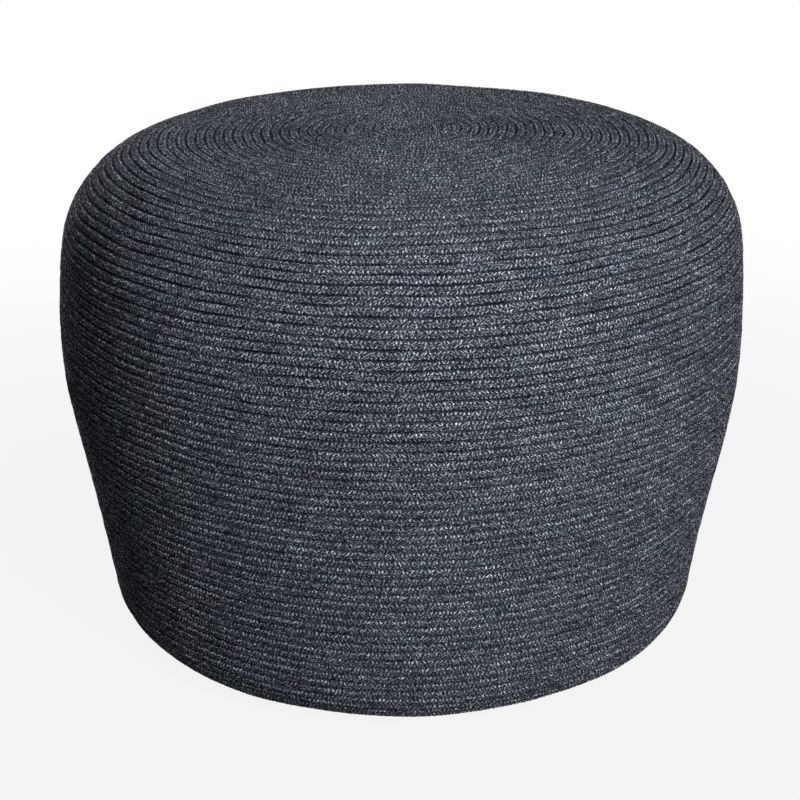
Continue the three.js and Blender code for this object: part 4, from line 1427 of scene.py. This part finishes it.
def make_camera(aim):
    """The photograph's view. The body's middle shows at its own pixel, so the camera aims beside it."""
    data = bpy.data.cameras.new("camera")
    data.sensor_width = SENSOR / MM
    data.lens = FOCAL_PIXELS / PHOTO_SIDE * data.sensor_width
    data.clip_start, data.clip_end = CAMERA_RANGE
    camera = add_object("camera", data)
    back = direction(0, CAMERA_ELEVATION)
    right_angle = math.atan((AIM_PIXEL[0] - PHOTO_SIDE / 2) / FOCAL_PIXELS)
    up_angle = math.atan((PHOTO_SIDE / 2 - AIM_PIXEL[1]) / FOCAL_PIXELS)
    looking = (-back).to_track_quat("-Z", "Y").to_matrix()
    beside = Matrix.Rotation(right_angle, 3, "Y") @ Matrix.Rotation(-up_angle, 3, "X")
    facing = (looking @ beside @ Matrix.Rotation(CAMERA_ROLL, 3, "Z")).to_quaternion()
    camera.matrix_world = Matrix.LocRotScale(aim + back * CAMERA_DISTANCE, facing, None)
    bpy.context.scene.camera = camera


def make_lamps(aim):
    for name, (azimuth, elevation, distance, side, power) in LAMPS.items():
        back = direction(azimuth, elevation)
        data = bpy.data.lights.new(name, "AREA")
        data.shape = "DISK"
        data.size = side
        data.energy = power
        lamp = add_object(name, data)
        lamp.location = aim + back * distance
        lamp.rotation_mode = "QUATERNION"
        lamp.rotation_quaternion = (-back).to_track_quat("-Z", "Y")


def seen_directly(graph):
    """1 for what the camera sees, also in metal and through glass."""
    path = graph.node("ShaderNodeLightPath")
    seen = graph.math("ADD", path["Is Camera Ray"], path["Is Glossy Ray"], clamp=True)
    return graph.math("ADD", seen, path["Is Transmission Ray"], clamp=True)


def floor_material():
    """Pale floor, white to the camera but for the shadow on it, and open to light and looks from below."""
    graph = new_material("studio_floor")
    diffuse = graph.node("ShaderNodeBsdfDiffuse", {"Color": FLOOR_COLOUR})[0]
    white = graph.node("ShaderNodeEmission", {"Strength": 1.0})[0]
    away = graph.node("ShaderNodeVectorMath", {0: graph.place()}, operation="LENGTH")["Value"]
    share = seen_directly(graph) * away.remap(*FLOOR_FADE, FLOOR_GLOW, 1.0)
    lit = graph.node("ShaderNodeMixShader", {0: share, 1: diffuse, 2: white})[0]
    clear = graph.node("ShaderNodeBsdfTransparent")[0]
    below = graph.node("ShaderNodeNewGeometry")["Backfacing"]
    shadow = graph.node("ShaderNodeLightPath")["Is Shadow Ray"]
    open_side = graph.math("ADD", below, shadow, clamp=True)
    both = graph.node("ShaderNodeMixShader", {0: open_side, 1: lit, 2: clear})[0]
    graph.node("ShaderNodeOutputMaterial", {"Surface": both})
    return graph.owner


def make_floor():
    mesh = bpy.data.meshes.new("studio_floor")
    half = FLOOR_SIDE / 2
    corners = [(-half, -half, 0), (half, -half, 0), (half, half, 0), (-half, half, 0)]
    mesh.from_pydata(corners, [], [(0, 1, 2, 3)])
    mesh.materials.append(floor_material())
    floor = add_object("studio_floor", mesh)


def make_world():
    """White to the camera, and a weak even light on the object."""
    graph = Graph(bpy.data.worlds.new("studio"))
    strength = seen_directly(graph).remap(0.0, 1.0, AMBIENT, 1.0, smooth=False)
    white = graph.node("ShaderNodeBackground", {"Color": (1, 1, 1, 1), "Strength": strength})[0]
    graph.node("ShaderNodeOutputWorld", {"Surface": white})
    bpy.context.scene.world = graph.owner


body_middle = Vector((0, 0, sum(span("cord_cover")) / 2))
make_camera(body_middle)
cord_cover()
make_layers()
make_draw_cord()
make_underside()
make_lamps(body_middle)
make_floor()
make_world()

bpy.context.scene.view_settings.view_transform = "Standard"
